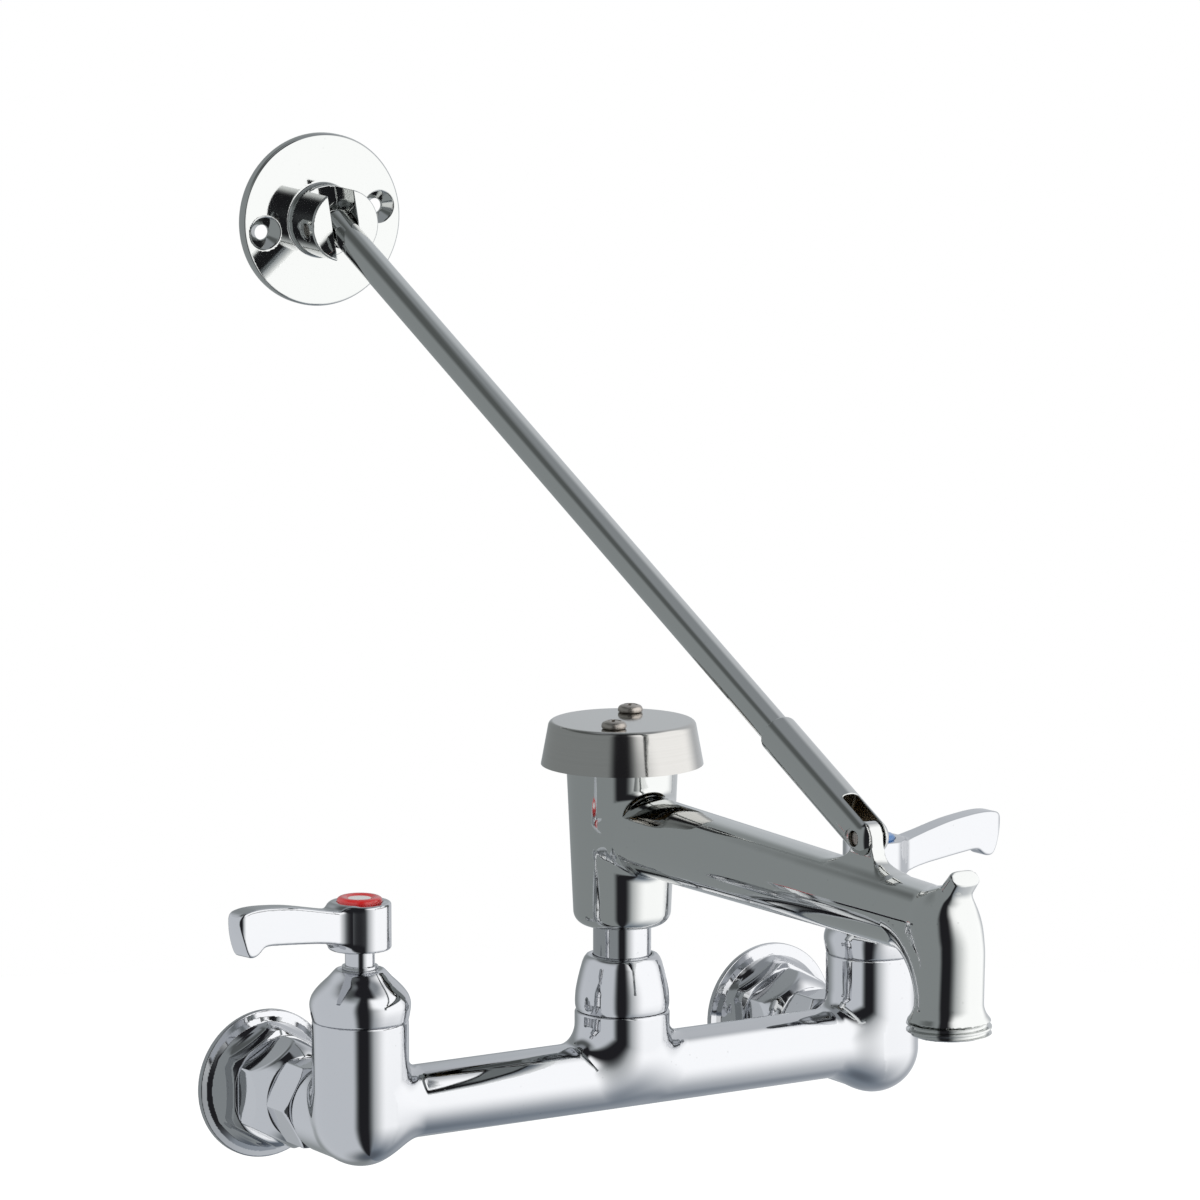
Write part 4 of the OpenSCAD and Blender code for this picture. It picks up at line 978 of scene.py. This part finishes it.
def machined_material(name, colour, roughness, metallic=1.0):
    """A turned or moulded inner part: plain, with light tool marks and handling haze."""
    material, tree, shader = new_material(name)
    relief = place_group(tree, "Cast Relief", Wave_Size=220.0, Line_Size=2600.0)
    marks = place_group(tree, "Handling Marks", Spot_Size=500.0, Haze_Size=60.0)
    worn = tuple(0.8 * part for part in colour)
    feed(tree, shader, Metallic=metallic, Base_Color=mixed(tree, worn, marks["Haze"], colour))
    set_roughness(tree, shader, roughness, (marks["Haze"], 0.1), (relief["Lines"], 0.08))
    add_relief(tree, shader, (relief["Lines"], 0.00001), (relief["Waves"], 0.00001))
    return material


def index_material(name, colour, centre_x):
    """A glossy coloured button with a bare pale middle."""
    material, tree, shader = new_material(name)
    pale, middle_radius, rim_radius = (0.82, 0.8, 0.78), 0.0036, 0.0039
    rim = ramp_between(tree, about_axis(tree, centre_x)[0], middle_radius, rim_radius)
    marks = place_group(tree, "Handling Marks", Spot_Size=700.0, Haze_Size=120.0)
    relief = place_group(tree, "Cast Relief", Wave_Size=300.0, Line_Size=2000.0)
    feed(tree, shader, Base_Color=mixed(tree, colour, rim, pale), Coat_Weight=0.6, Coat_Roughness=0.06)
    set_roughness(tree, shader, 0.16, (marks["Haze"], 0.12), (marks["Spots"], 0.1))
    add_relief(tree, shader, (relief["Waves"], 0.00004))
    return material


def build_materials(finish):
    """All the finishes, by the record's slot names and the scene's own."""
    cast_relief_group()
    handling_group()
    slot_shade_group()
    body, spout, gloss = tuple(finish.body_chrome_with_painted_tint), tuple(finish.spout_chrome_with_painted_tint), finish.chrome_roughness
    cast_waves, turned_waves = 0.00012, 0.00003
    # Painted reflected tint: the body's chrome copies take the body's bluer colour, and the spout's and the
    # brace's copies take the spout's, for the surroundings each mirrors.
    chrome_material("polished_chrome", body, gloss, cast_waves)
    chrome_material("spout_chrome", spout, gloss, cast_waves)
    chrome_material("turned_chrome", body, gloss, turned_waves)
    chrome_material("brace_chrome", spout, gloss, turned_waves)
    slot_shaded_material("slot_shaded_chrome", spout, gloss, turned_waves)
    satin_material("satin_cap", tuple(finish.satin_colour), finish.satin_roughness)
    machined_material("screw_steel", tuple(finish.screw_colour), 0.26)
    machined_material("plain_brass", (0.72, 0.5, 0.22), 0.25)
    machined_material("white_ceramic", (0.85, 0.85, 0.83), 0.2, 0.0)
    machined_material("black_rubber", (0.025, 0.025, 0.027), 0.6, 0.0)
    machined_material("float_plastic", (0.8, 0.77, 0.68), 0.4, 0.0)
    index_material("red_index", tuple(finish.hot_colour), -VALVE_X)
    index_material("blue_index", tuple(finish.cold_colour), VALVE_X)


def finish_named(name):
    """A finished material by name."""
    return bpy.data.materials[f"faucet_{name}"]


# Settings


class FAUCET_PG_sizes(bpy.types.PropertyGroup):
    """Sizes of the details that the frame leaves open"""

    blade_width: FloatProperty(
        name="Blade Width", description="Width of a lever's blade",
        default=0.0076, min=0.006, max=0.010, unit="LENGTH",
    )
    blade_edge: FloatProperty(
        name="Blade Edge", description="Radius of the blade's rounded edges",
        default=0.001, min=0.0005, max=0.003, unit="LENGTH",
    )
    hot_turn: FloatProperty(
        name="Hot Lever Turn", description="Turn of the hot lever away from the wall",
        default=math.radians(12.0), min=0.0, max=math.radians(20.0), subtype="ANGLE",
    )
    cold_turn: FloatProperty(
        name="Cold Lever Turn", description="Turn of the cold lever towards the wall",
        default=math.radians(5.0), min=0.0, max=math.radians(20.0), subtype="ANGLE",
    )
    thread_pitch: FloatProperty(
        name="Thread Pitch", description="Pitch of the outlet's hose thread",
        default=0.002209, min=0.001, max=0.003, unit="LENGTH",
    )
    thread_depth: FloatProperty(
        name="Thread Depth", description="Depth of the outlet's hose thread",
        default=0.0012, min=0.0004, max=0.0014, unit="LENGTH",
    )


class FAUCET_PG_finish(bpy.types.PropertyGroup):
    """Colours and gloss"""

    # Body Chrome and Spout Chrome are one chrome plate with a painted reflected tint: the body's colour is
    # bluer and the spout's more neutral, standing in for the different surroundings each mirrors.
    body_chrome_with_painted_tint: FloatVectorProperty(
        name="Body Chrome", description="Colour of the body's chrome plate",
        default=(0.628, 0.636, 0.654), subtype="COLOR", min=0.0, max=1.0,
    )
    spout_chrome_with_painted_tint: FloatVectorProperty(
        name="Spout Chrome", description="Colour of the spout's and the brace's chrome plate",
        default=(0.64, 0.65, 0.64), subtype="COLOR", min=0.0, max=1.0,
    )
    satin_colour: FloatVectorProperty(
        name="Satin Cap", description="Colour of the vacuum breaker's cap",
        default=(0.58, 0.57, 0.55), subtype="COLOR", min=0.0, max=1.0,
    )
    screw_colour: FloatVectorProperty(
        name="Screws", description="Colour of the screws and pins",
        default=(0.5, 0.46, 0.42), subtype="COLOR", min=0.0, max=1.0,
    )
    hot_colour: FloatVectorProperty(
        name="Hot Index", description="Colour of the hot lever's button",
        default=(0.62, 0.02, 0.02), subtype="COLOR", min=0.0, max=1.0,
    )
    cold_colour: FloatVectorProperty(
        name="Cold Index", description="Colour of the cold lever's button",
        default=(0.04, 0.2, 0.52), subtype="COLOR", min=0.0, max=1.0,
    )
    chrome_roughness: FloatProperty(
        name="Chrome Roughness", description="Roughness of clean chrome",
        default=0.035, min=0.0, max=0.3, subtype="FACTOR",
    )
    satin_roughness: FloatProperty(
        name="Satin Roughness", description="Roughness of the satin cap",
        default=0.07, min=0.02, max=0.6, subtype="FACTOR",
    )


class FAUCET_PG_studio(bpy.types.PropertyGroup):
    """The soft studio round the faucet"""

    fill_level: FloatProperty(
        name="Fill Level", description="Strength of the even light from all round",
        default=0.72, min=0.0, max=2.0,
    )
    lamp_power: FloatProperty(
        name="Lamp Power", description="Power of the large soft lamp overhead",
        default=16.0, min=0.0, max=200.0, unit="POWER",
    )
    floor_depth: FloatProperty(
        name="Floor Depth", description="Depth of the floor below the inlets",
        default=0.3, min=0.05, max=2.0, unit="LENGTH",
    )
    card_distance: FloatProperty(
        name="Card Distance", description="Distance of the cards from the faucet's middle",
        default=0.55, min=0.5, max=10.0, unit="LENGTH",
    )
    white_card: FloatProperty(
        name="White Cards", description="Brightness of the white cards that the chrome mirrors",
        default=1.48, min=0.0, max=3.0,
    )
    side_fill: FloatProperty(
        name="Side Fill", description="Brightness that the left side adds on the body's chrome",
        default=0.43, min=0.0, max=2.0,
    )
    grey_card: FloatProperty(
        name="Grey Cards", description="Brightness of the grey cards that the chrome mirrors",
        default=0.33, min=0.0, max=2.0,
    )
    dark_card: FloatProperty(
        name="Dark Cards", description="Brightness of the dark cards that the chrome mirrors",
        default=0.02, min=0.0, max=1.0,
    )


# Operators


class FAUCET_OT_finishes(bpy.types.Operator):
    """Make the finishes"""

    bl_idname = "faucet.finishes"
    bl_label = "Finishes"

    def execute(self, context):
        build_materials(context.scene.faucet_finish)
        return {"FINISHED"}


class FAUCET_OT_body(bpy.types.Operator):
    """Build the body casting"""

    bl_idname = "faucet.body"
    bl_label = "Body Casting"

    def execute(self, context):
        half = VALVE_X + BARREL_RADIUS + 2.0
        shape = field_mesh(body_field, (-half, -84.0, -17.0), (half, -36.0, 38.0), 0.8)
        make_piece("body", shape, "polished_chrome", "valve_body", "polished_chrome", "body_casting")
        return {"FINISHED"}


class FAUCET_OT_inlets(bpy.types.Operator):
    """Build the wall discs, inlet fittings and coupling nuts"""

    bl_idname = "faucet.inlets"
    bl_label = "Inlets"

    def execute(self, context):
        for name, field, radius, front, rear, step in (
            ("wall_disc", wall_disc_field, 27.0, -14.0, 1.5, 0.36),
            ("fitting", fitting_field, 20.0, -37.5, 1.5, 0.45),
            ("union_nut", union_nut_field, 17.0, -44.0, -27.0, 0.4),
        ):
            low = (-VALVE_X - radius, front, -radius)
            high = (-VALVE_X + radius, rear, radius)
            hot = field_mesh(field, low, high, step)
            for side, shape in (("hot", hot), ("cold", mirrored(hot))):
                make_piece(f"{side}_{name}_plate", shape, "turned_chrome", "valve_body",
                           "polished_chrome", f"{side}_{name}")
        return {"FINISHED"}


class FAUCET_OT_valves(bpy.types.Operator):
    """Build the bonnets and the valve stems"""

    bl_idname = "faucet.valves"
    bl_label = "Bonnets and Stems"

    def execute(self, context):
        bonnet = turned_mesh(bonnet_outline())
        stem = turned_mesh(stem_outline(), count=64)
        for side, x in SIDES:
            spot = (x, -WALL_REACH, 0.0)
            make_piece(f"{side}_bonnet_bell", placed(bonnet, spot), "turned_chrome", "valve_body",
                       "polished_chrome", f"{side}_bonnet")
            make_piece(f"{side}_stem_shaft", placed(stem, spot), "turned_chrome", f"{side}_handle",
                       "polished_chrome", f"{side}_stem")
        return {"FINISHED"}


class FAUCET_OT_levers(bpy.types.Operator):
    """Build the lever handles and their index buttons"""

    bl_idname = "faucet.levers"
    bl_label = "Levers"

    def execute(self, context):
        sizes = context.scene.faucet_sizes
        lever = field_mesh(lever_field(sizes), (-12.0, -12.0, -1.0), (57.0, 12.0, 21.6), 0.45)
        spot = (VALVE_X, -WALL_REACH, LEVER_Z)
        hot, cold = (placed(lever, spot, *turned_axes(turn)) for turn in (-sizes.hot_turn, sizes.cold_turn))
        button = turned_mesh(index_outline())
        for (side, x), shape, tint in zip(SIDES, (mirrored(hot), cold), ("red_index", "blue_index")):
            make_piece(f"{side}_lever_handle", shape, "polished_chrome", f"{side}_handle",
                       "polished_chrome", f"{side}_lever")
            make_piece(f"{side}_index_button", placed(button, (x, -WALL_REACH, LEVER_Z)), tint,
                       f"{side}_handle", tint, f"{side}_index")
        return {"FINISHED"}


class FAUCET_OT_riser(bpy.types.Operator):
    """Build the collar nut and the riser tube"""

    bl_idname = "faucet.riser"
    bl_label = "Collar Nut and Riser"

    def execute(self, context):
        make_piece("collar", placed(turned_mesh(collar_outline()), POST_PLACE), "turned_chrome",
                   "valve_body", "polished_chrome", "collar_nut")
        make_piece("riser", placed(turned_mesh(riser_outline()), POST_PLACE), "turned_chrome",
                   "spout", "polished_chrome", "riser_tube")
        return {"FINISHED"}


class FAUCET_OT_spout(bpy.types.Operator):
    """Build the spout casting with its hose thread"""

    bl_idname = "faucet.spout"
    bl_label = "Spout Casting"

    def execute(self, context):
        casting = field_mesh(spout_field, (-21.0, -273.0, 52.0), (21.0, -45.0, 115.0), 0.75)
        shape = joined(casting, hose_thread(context.scene.faucet_sizes))
        make_piece("spout_arm", shape, "spout_chrome", "spout", "polished_chrome", "spout_casting")
        return {"FINISHED"}


class FAUCET_OT_breaker(bpy.types.Operator):
    """Build the vacuum breaker's cap and its screws"""

    bl_idname = "faucet.breaker"
    bl_label = "Vacuum Breaker"

    def execute(self, context):
        cap = turned_mesh(cap_outline(), count=192)
        make_piece("cap", placed(cap, POST_PLACE), "satin_cap", "spout", "satin_cap", "breaker_cap")
        screw = field_mesh(cap_screw_field, (-4.8, -4.8, -21.0), (4.8, 4.8, 3.6), 0.16)
        place, screws = 16.0, []
        for turn in (48.0, 228.0):
            x, y = turned_axes(math.radians(turn))
            spot = (place * x[0], place * x[1] - WALL_REACH, CAP_TOP)
            screws.append(placed(screw, spot, x, y))
        make_piece("cap_screw_pair", joined(*screws), "screw_steel", "spout", "screw_steel", "cap_screws")
        return {"FINISHED"}


class FAUCET_OT_brace(bpy.types.Operator):
    """Build the brace: forked sleeve, rod and wall flange with their pins"""

    bl_idname = "faucet.brace"
    bl_label = "Brace"

    def execute(self, context):
        fork = (FORK_PIN, (1, 0, 0), ROD_LINE)
        wall = (WALL_PIN, WALL_PIN_LINE, FLANGE_NORMAL)
        sleeve = field_mesh(sleeve_field, (-8.0, -8.0, -8.0), (8.0, 59.5, 8.0), 0.4)
        # The sleeve's fork slot carries painted shade.
        make_piece("sleeve", placed(sleeve, *fork), "slot_shaded_chrome", "brace_fork",
                   "polished_chrome", "brace_sleeve")
        make_piece("fork_pin", placed(pin_mesh(5.0), *fork), "screw_steel", "brace_fork",
                   "screw_steel", "sleeve_pin")
        rod = field_mesh(rod_field, (-6.5, 20.0, -6.5), (6.5, ROD_LENGTH + 6.5, 6.5), 0.7)
        make_piece("rod", placed(rod, FORK_PIN, WALL_PIN_LINE, ROD_LINE), "brace_chrome",
                   "brace_bar", "polished_chrome", "brace_rod")
        flange = field_mesh(flange_field, (-32.5, -8.5, -32.5), (32.5, 18.5, 32.5), 0.5)
        make_piece("wall_flange", placed(flange, *wall), "brace_chrome", "wall_bracket",
                   "polished_chrome", "brace_flange")
        make_piece("bracket_pin", placed(pin_mesh(11.4), *wall), "screw_steel", "wall_bracket",
                   "screw_steel", "flange_pin")
        return {"FINISHED"}


INNER_FINISHES = {
    "black_rubber": ("union_washers", "seat_seals", "riser_seals", "vent_gasket", "float_seals"),
    "plain_brass": ("split_rings", "riser_ring", "vent_plate"),
    "turned_chrome": ("hot_shell", "cold_shell"),
    "white_ceramic": ("fixed_discs", "hot_turning_disc", "cold_turning_disc"),
    "screw_steel": ("hot_lever_screw", "cold_lever_screw"),
    "float_plastic": ("float",),
}


class FAUCET_OT_inner(bpy.types.Operator):
    """Finish the frame's own inner pieces"""

    bl_idname = "faucet.inner"
    bl_label = "Inner Pieces"

    def execute(self, context):
        for finish, names in INNER_FINISHES.items():
            for name in names:
                for material_slot in frame["nodes"][name].material_slots:
                    material_slot.link = "OBJECT"
                    material_slot.material = finish_named(finish)
        return {"FINISHED"}


# Studio

STAGE_MIDDLE = Vector((0.0, -0.07, 0.12))
LAMP_PLACE = (-0.9, -1.2, 2.2)
CAMERA_PLACE = (-1.2263, -2.0141, 0.5336)
CAMERA_TURN = 32.0
CAMERA_TILT = 80.9
SIDE_LIT = ("body", "collar") + tuple(
    f"{side}_{name}" for side, x in SIDES
    for name in ("bonnet_bell", "stem_shaft", "lever_handle", "index_button", "union_nut_plate",
                 "fitting_plate")
)


def card_directions(tree):
    """Turn from the photo's side and height of a card's point, in degrees."""
    degrees = 180.0 / math.pi
    place = add_node(tree, "ShaderNodeTexCoord").outputs["Object"]
    way = add_node(tree, "ShaderNodeVectorMath", operation="NORMALIZE", input0=place).outputs[0]
    parts = add_node(tree, "ShaderNodeSeparateXYZ", input0=way).outputs
    front = math_node(tree, "MULTIPLY", parts[1], -1.0)
    turn = math_node(tree, "MULTIPLY", math_node(tree, "ARCTAN2", parts[0], front), degrees)
    turn = math_node(tree, "WRAP", math_node(tree, "ADD", turn, CAMERA_TURN), 180.0, -180.0)
    height = math_node(tree, "MULTIPLY", math_node(tree, "ARCSINE", parts[2]), degrees)
    return turn, height


def emission_material(name):
    """A material that only glows, with its tree, its emission node and its output."""
    material, tree, _ = new_material(name)
    tree.nodes.clear()
    return material, tree, add_node(tree, "ShaderNodeEmission"), add_node(tree, "ShaderNodeOutputMaterial")


def cards_material(studio):
    """The cards all round that the chrome mirrors, as soft-edged parts of one surround."""
    material, tree, glow, output = emission_material("studio_cards")
    turn, height = card_directions(tree)

    def above(value, low, high):
        return ramp_between(tree, value, low, high)

    def below(value, low, high):
        return fall_between(tree, value, low, high)

    def both(*masks):
        return product(tree, *masks)

    grey = studio.grey_card
    dark = (studio.dark_card, studio.dark_card, studio.dark_card * 1.15)
    lift = both(above(height, -5.0, 25.0), 22.0)
    rise = above(math_node(tree, "ADD", turn, lift), 6.0, 58.0)
    light = mixed(tree, (studio.white_card,) * 3, rise, (grey * 0.93, grey, grey * 1.02))
    behind = mixed(tree, (0.6, 0.63, 0.66), above(height, -6.0, 8.0), (0.4, 0.43, 0.46))
    cards = (
        ("right side", (0.66, 0.68, 0.71), above(turn, 104.0, 138.0)),
        ("behind, right", behind, above(turn, 160.0, 180.0)),
        ("behind, left", behind, below(turn, -180.0, -160.0)),
        ("ceiling", (0.32, 0.34, 0.36), above(height, 44.0, 68.0)),
        ("upper left", (0.12, 0.13, 0.13),
         both(above(turn, -158.0, -132.0), below(turn, -50.0, -24.0), above(height, 34.0, 50.0),
              below(height, 58.0, 72.0))),
        ("lower right", (0.22, 0.26, 0.31), both(below(height, -82.0, -14.0), above(turn, -15.0, 30.0))),
        ("floor", (0.13, 0.15, 0.18), below(height, -86.0, -68.0)),
        ("strip in front", dark, both(above(turn, -22.0, -9.0), below(turn, 6.0, 25.0))),
        ("front of the ceiling", dark,
         both(above(height, 50.0, 62.0), above(turn, -60.0, -35.0), below(turn, 30.0, 60.0))),
    )
    for label, colour, mask in cards:
        light = mixed(tree, colour, mask, light)
        light.node.label = label
    feed(tree, glow, Color=light, Strength=1.0)
    feed(tree, output, Surface=glow.outputs[0])
    return material


def side_fill_material(studio):
    """A faint glow from the left that only the body's pieces mirror."""
    material, tree, glow, output = emission_material("studio_side_fill")
    turn, height = card_directions(tree)
    mask = product(tree, ramp_between(tree, turn, -150.0, -110.0), fall_between(tree, turn, -26.0, -14.0),
                   ramp_between(tree, height, -80.0, -60.0), fall_between(tree, height, 26.0, 54.0))
    feed(tree, glow, Color=(0.97, 0.98, 1.05, 1.0), Strength=product(tree, mask, studio.side_fill))
    clear = add_node(tree, "ShaderNodeBsdfTransparent").outputs[0]
    total = add_node(tree, "ShaderNodeAddShader", input0=glow.outputs[0], input1=clear).outputs[0]
    feed(tree, output, Surface=total)
    return material


def floor_material():
    """A pale floor that keeps the faucet's shadow and runs into the white around it."""
    material, tree, shader = new_material("studio_floor")
    seen = add_node(tree, "ShaderNodeLightPath").outputs["Is Camera Ray"]
    feed(tree, shader, Base_Color=(0.9, 0.9, 0.9, 1.0), Roughness=0.9,
         Emission_Color=(1.0, 1.0, 1.0, 1.0), Emission_Strength=product(tree, seen, 0.35))
    return material


def stage_object(name, points, faces, material, place):
    """An object of the studio, apart from the faucet."""
    mesh = bpy.data.meshes.new(name)
    mesh.from_pydata(points, [], faces)
    mesh.materials.append(material)
    thing = bpy.data.objects.new(name, mesh)
    bpy.context.scene.collection.objects.link(thing)
    thing.location = place
    return thing


def add_floor(studio):
    """A round floor that isn't mirrored."""
    radius, sides = 1.6, 64
    turns = np.arange(sides) * 2 * math.pi / sides
    points = [(radius * math.cos(a), radius * math.sin(a), 0.0) for a in turns]
    place = (STAGE_MIDDLE.x, STAGE_MIDDLE.y, -studio.floor_depth)
    floor = stage_object("floor", points, [tuple(range(sides))], floor_material(), place)
    floor.visible_glossy = False


def add_shell(name, far, material):
    """A sphere round the faucet that only its reflections show."""
    rows = 48
    ring = [(far * math.sin(a), -far * math.cos(a)) for a in np.arange(1, rows) * math.pi / rows]
    points, faces, _ = turned_mesh([(0.0, -far)] + ring + [(0.0, far)], False, 2 * rows)
    shell = stage_object(name, points.tolist(), faces, material, STAGE_MIDDLE)
    for ray in ("camera", "diffuse", "transmission", "volume_scatter", "shadow"):
        setattr(shell, f"visible_{ray}", False)
    return shell


def add_lamp(scene, studio):
    """A large soft lamp overhead."""
    lamp = bpy.data.lights.new("overhead", "AREA")
    lamp.energy = studio.lamp_power
    lamp.shape = "DISK"
    lamp.size = 1.6
    overhead = bpy.data.objects.new("overhead", lamp)
    scene.collection.objects.link(overhead)
    overhead.location = LAMP_PLACE
    overhead.rotation_euler = (STAGE_MIDDLE - overhead.location).to_track_quat("-Z", "Y").to_euler()
    overhead.visible_glossy = False


def add_world(scene, studio):
    """White where it is seen or mirrored, and the fill level for all other light."""
    scene.world = bpy.data.worlds.new("studio")
    scene.world.use_nodes = True
    tree = scene.world.node_tree
    paths = add_node(tree, "ShaderNodeLightPath").outputs
    seen = math_node(tree, "ADD", paths["Is Camera Ray"], paths["Is Glossy Ray"], clamp=True)
    seen = math_node(tree, "ADD", seen, paths["Is Transmission Ray"], clamp=True)
    level = math_node(tree, "ADD", product(tree, seen, 1.0 - studio.fill_level), studio.fill_level)
    feed(tree, tree.nodes["Background"], Color=(1.0, 1.0, 1.0, 1.0), Strength=level)


def add_camera(scene):
    """The camera at the photo's angle."""
    view = bpy.data.cameras.new("camera")
    view.sensor_width = 36.0
    view.lens = 210.0
    view.clip_start = 0.05
    view.clip_end = 50.0
    camera = bpy.data.objects.new("camera", view)
    scene.collection.objects.link(camera)
    camera.location = CAMERA_PLACE
    camera.rotation_euler = (math.radians(CAMERA_TILT), 0.0, math.radians(-CAMERA_TURN))
    scene.camera = camera


class FAUCET_OT_studio(bpy.types.Operator):
    """Set up the floor, the light and the camera"""

    bl_idname = "faucet.studio"
    bl_label = "Studio"

    def execute(self, context):
        scene = context.scene
        studio = scene.faucet_studio
        scene.view_settings.view_transform = "Standard"
        add_floor(studio)
        add_shell("cards", studio.card_distance, cards_material(studio))
        fill = add_shell("side_fill", 0.95 * studio.card_distance, side_fill_material(studio))
        lit = bpy.data.collections.new("side_lit")
        for name in SIDE_LIT:
            lit.objects.link(bpy.data.objects[name])
        fill.light_linking.receiver_collection = lit
        add_lamp(scene, studio)
        add_world(scene, studio)
        add_camera(scene)
        return {"FINISHED"}


STEPS = (
    FAUCET_OT_finishes, FAUCET_OT_body, FAUCET_OT_inlets, FAUCET_OT_valves, FAUCET_OT_levers,
    FAUCET_OT_riser, FAUCET_OT_spout, FAUCET_OT_breaker, FAUCET_OT_brace, FAUCET_OT_inner,
    FAUCET_OT_studio,
)


class FAUCET_PT_panel(bpy.types.Panel):
    """Lists the faucet's pieces and settings"""

    bl_idname = "FAUCET_PT_panel"
    bl_label = "Service Faucet"
    bl_space_type = "VIEW_3D"
    bl_region_type = "UI"
    bl_category = "Faucet"

    def draw(self, context):
        layout = self.layout
        for title, group in (("Sizes", context.scene.faucet_sizes),
                             ("Finish", context.scene.faucet_finish),
                             ("Studio", context.scene.faucet_studio)):
            box = layout.box()
            box.label(text=title)
            for name in group.bl_rna.properties.keys():
                if name not in ("rna_type", "name"):
                    box.prop(group, name)
        for step in STEPS:
            layout.operator(step.bl_idname)


GROUPS = (
    ("faucet_sizes", FAUCET_PG_sizes),
    ("faucet_finish", FAUCET_PG_finish),
    ("faucet_studio", FAUCET_PG_studio),
)


def register():
    """Register the settings, operators and panel."""
    for name, group in GROUPS:
        bpy.utils.register_class(group)
        setattr(bpy.types.Scene, name, PointerProperty(type=group))
    for step in STEPS:
        bpy.utils.register_class(step)
    bpy.utils.register_class(FAUCET_PT_panel)


def unregister():
    """Remove what register added."""
    bpy.utils.unregister_class(FAUCET_PT_panel)
    for step in reversed(STEPS):
        bpy.utils.unregister_class(step)
    for name, group in reversed(GROUPS):
        delattr(bpy.types.Scene, name)
        bpy.utils.unregister_class(group)


def main():
    """Build every piece in order."""
    register()
    for step in STEPS:
        family, name = step.bl_idname.split(".")
        getattr(getattr(bpy.ops, family), name)()


if __name__ == "__main__":
    main()
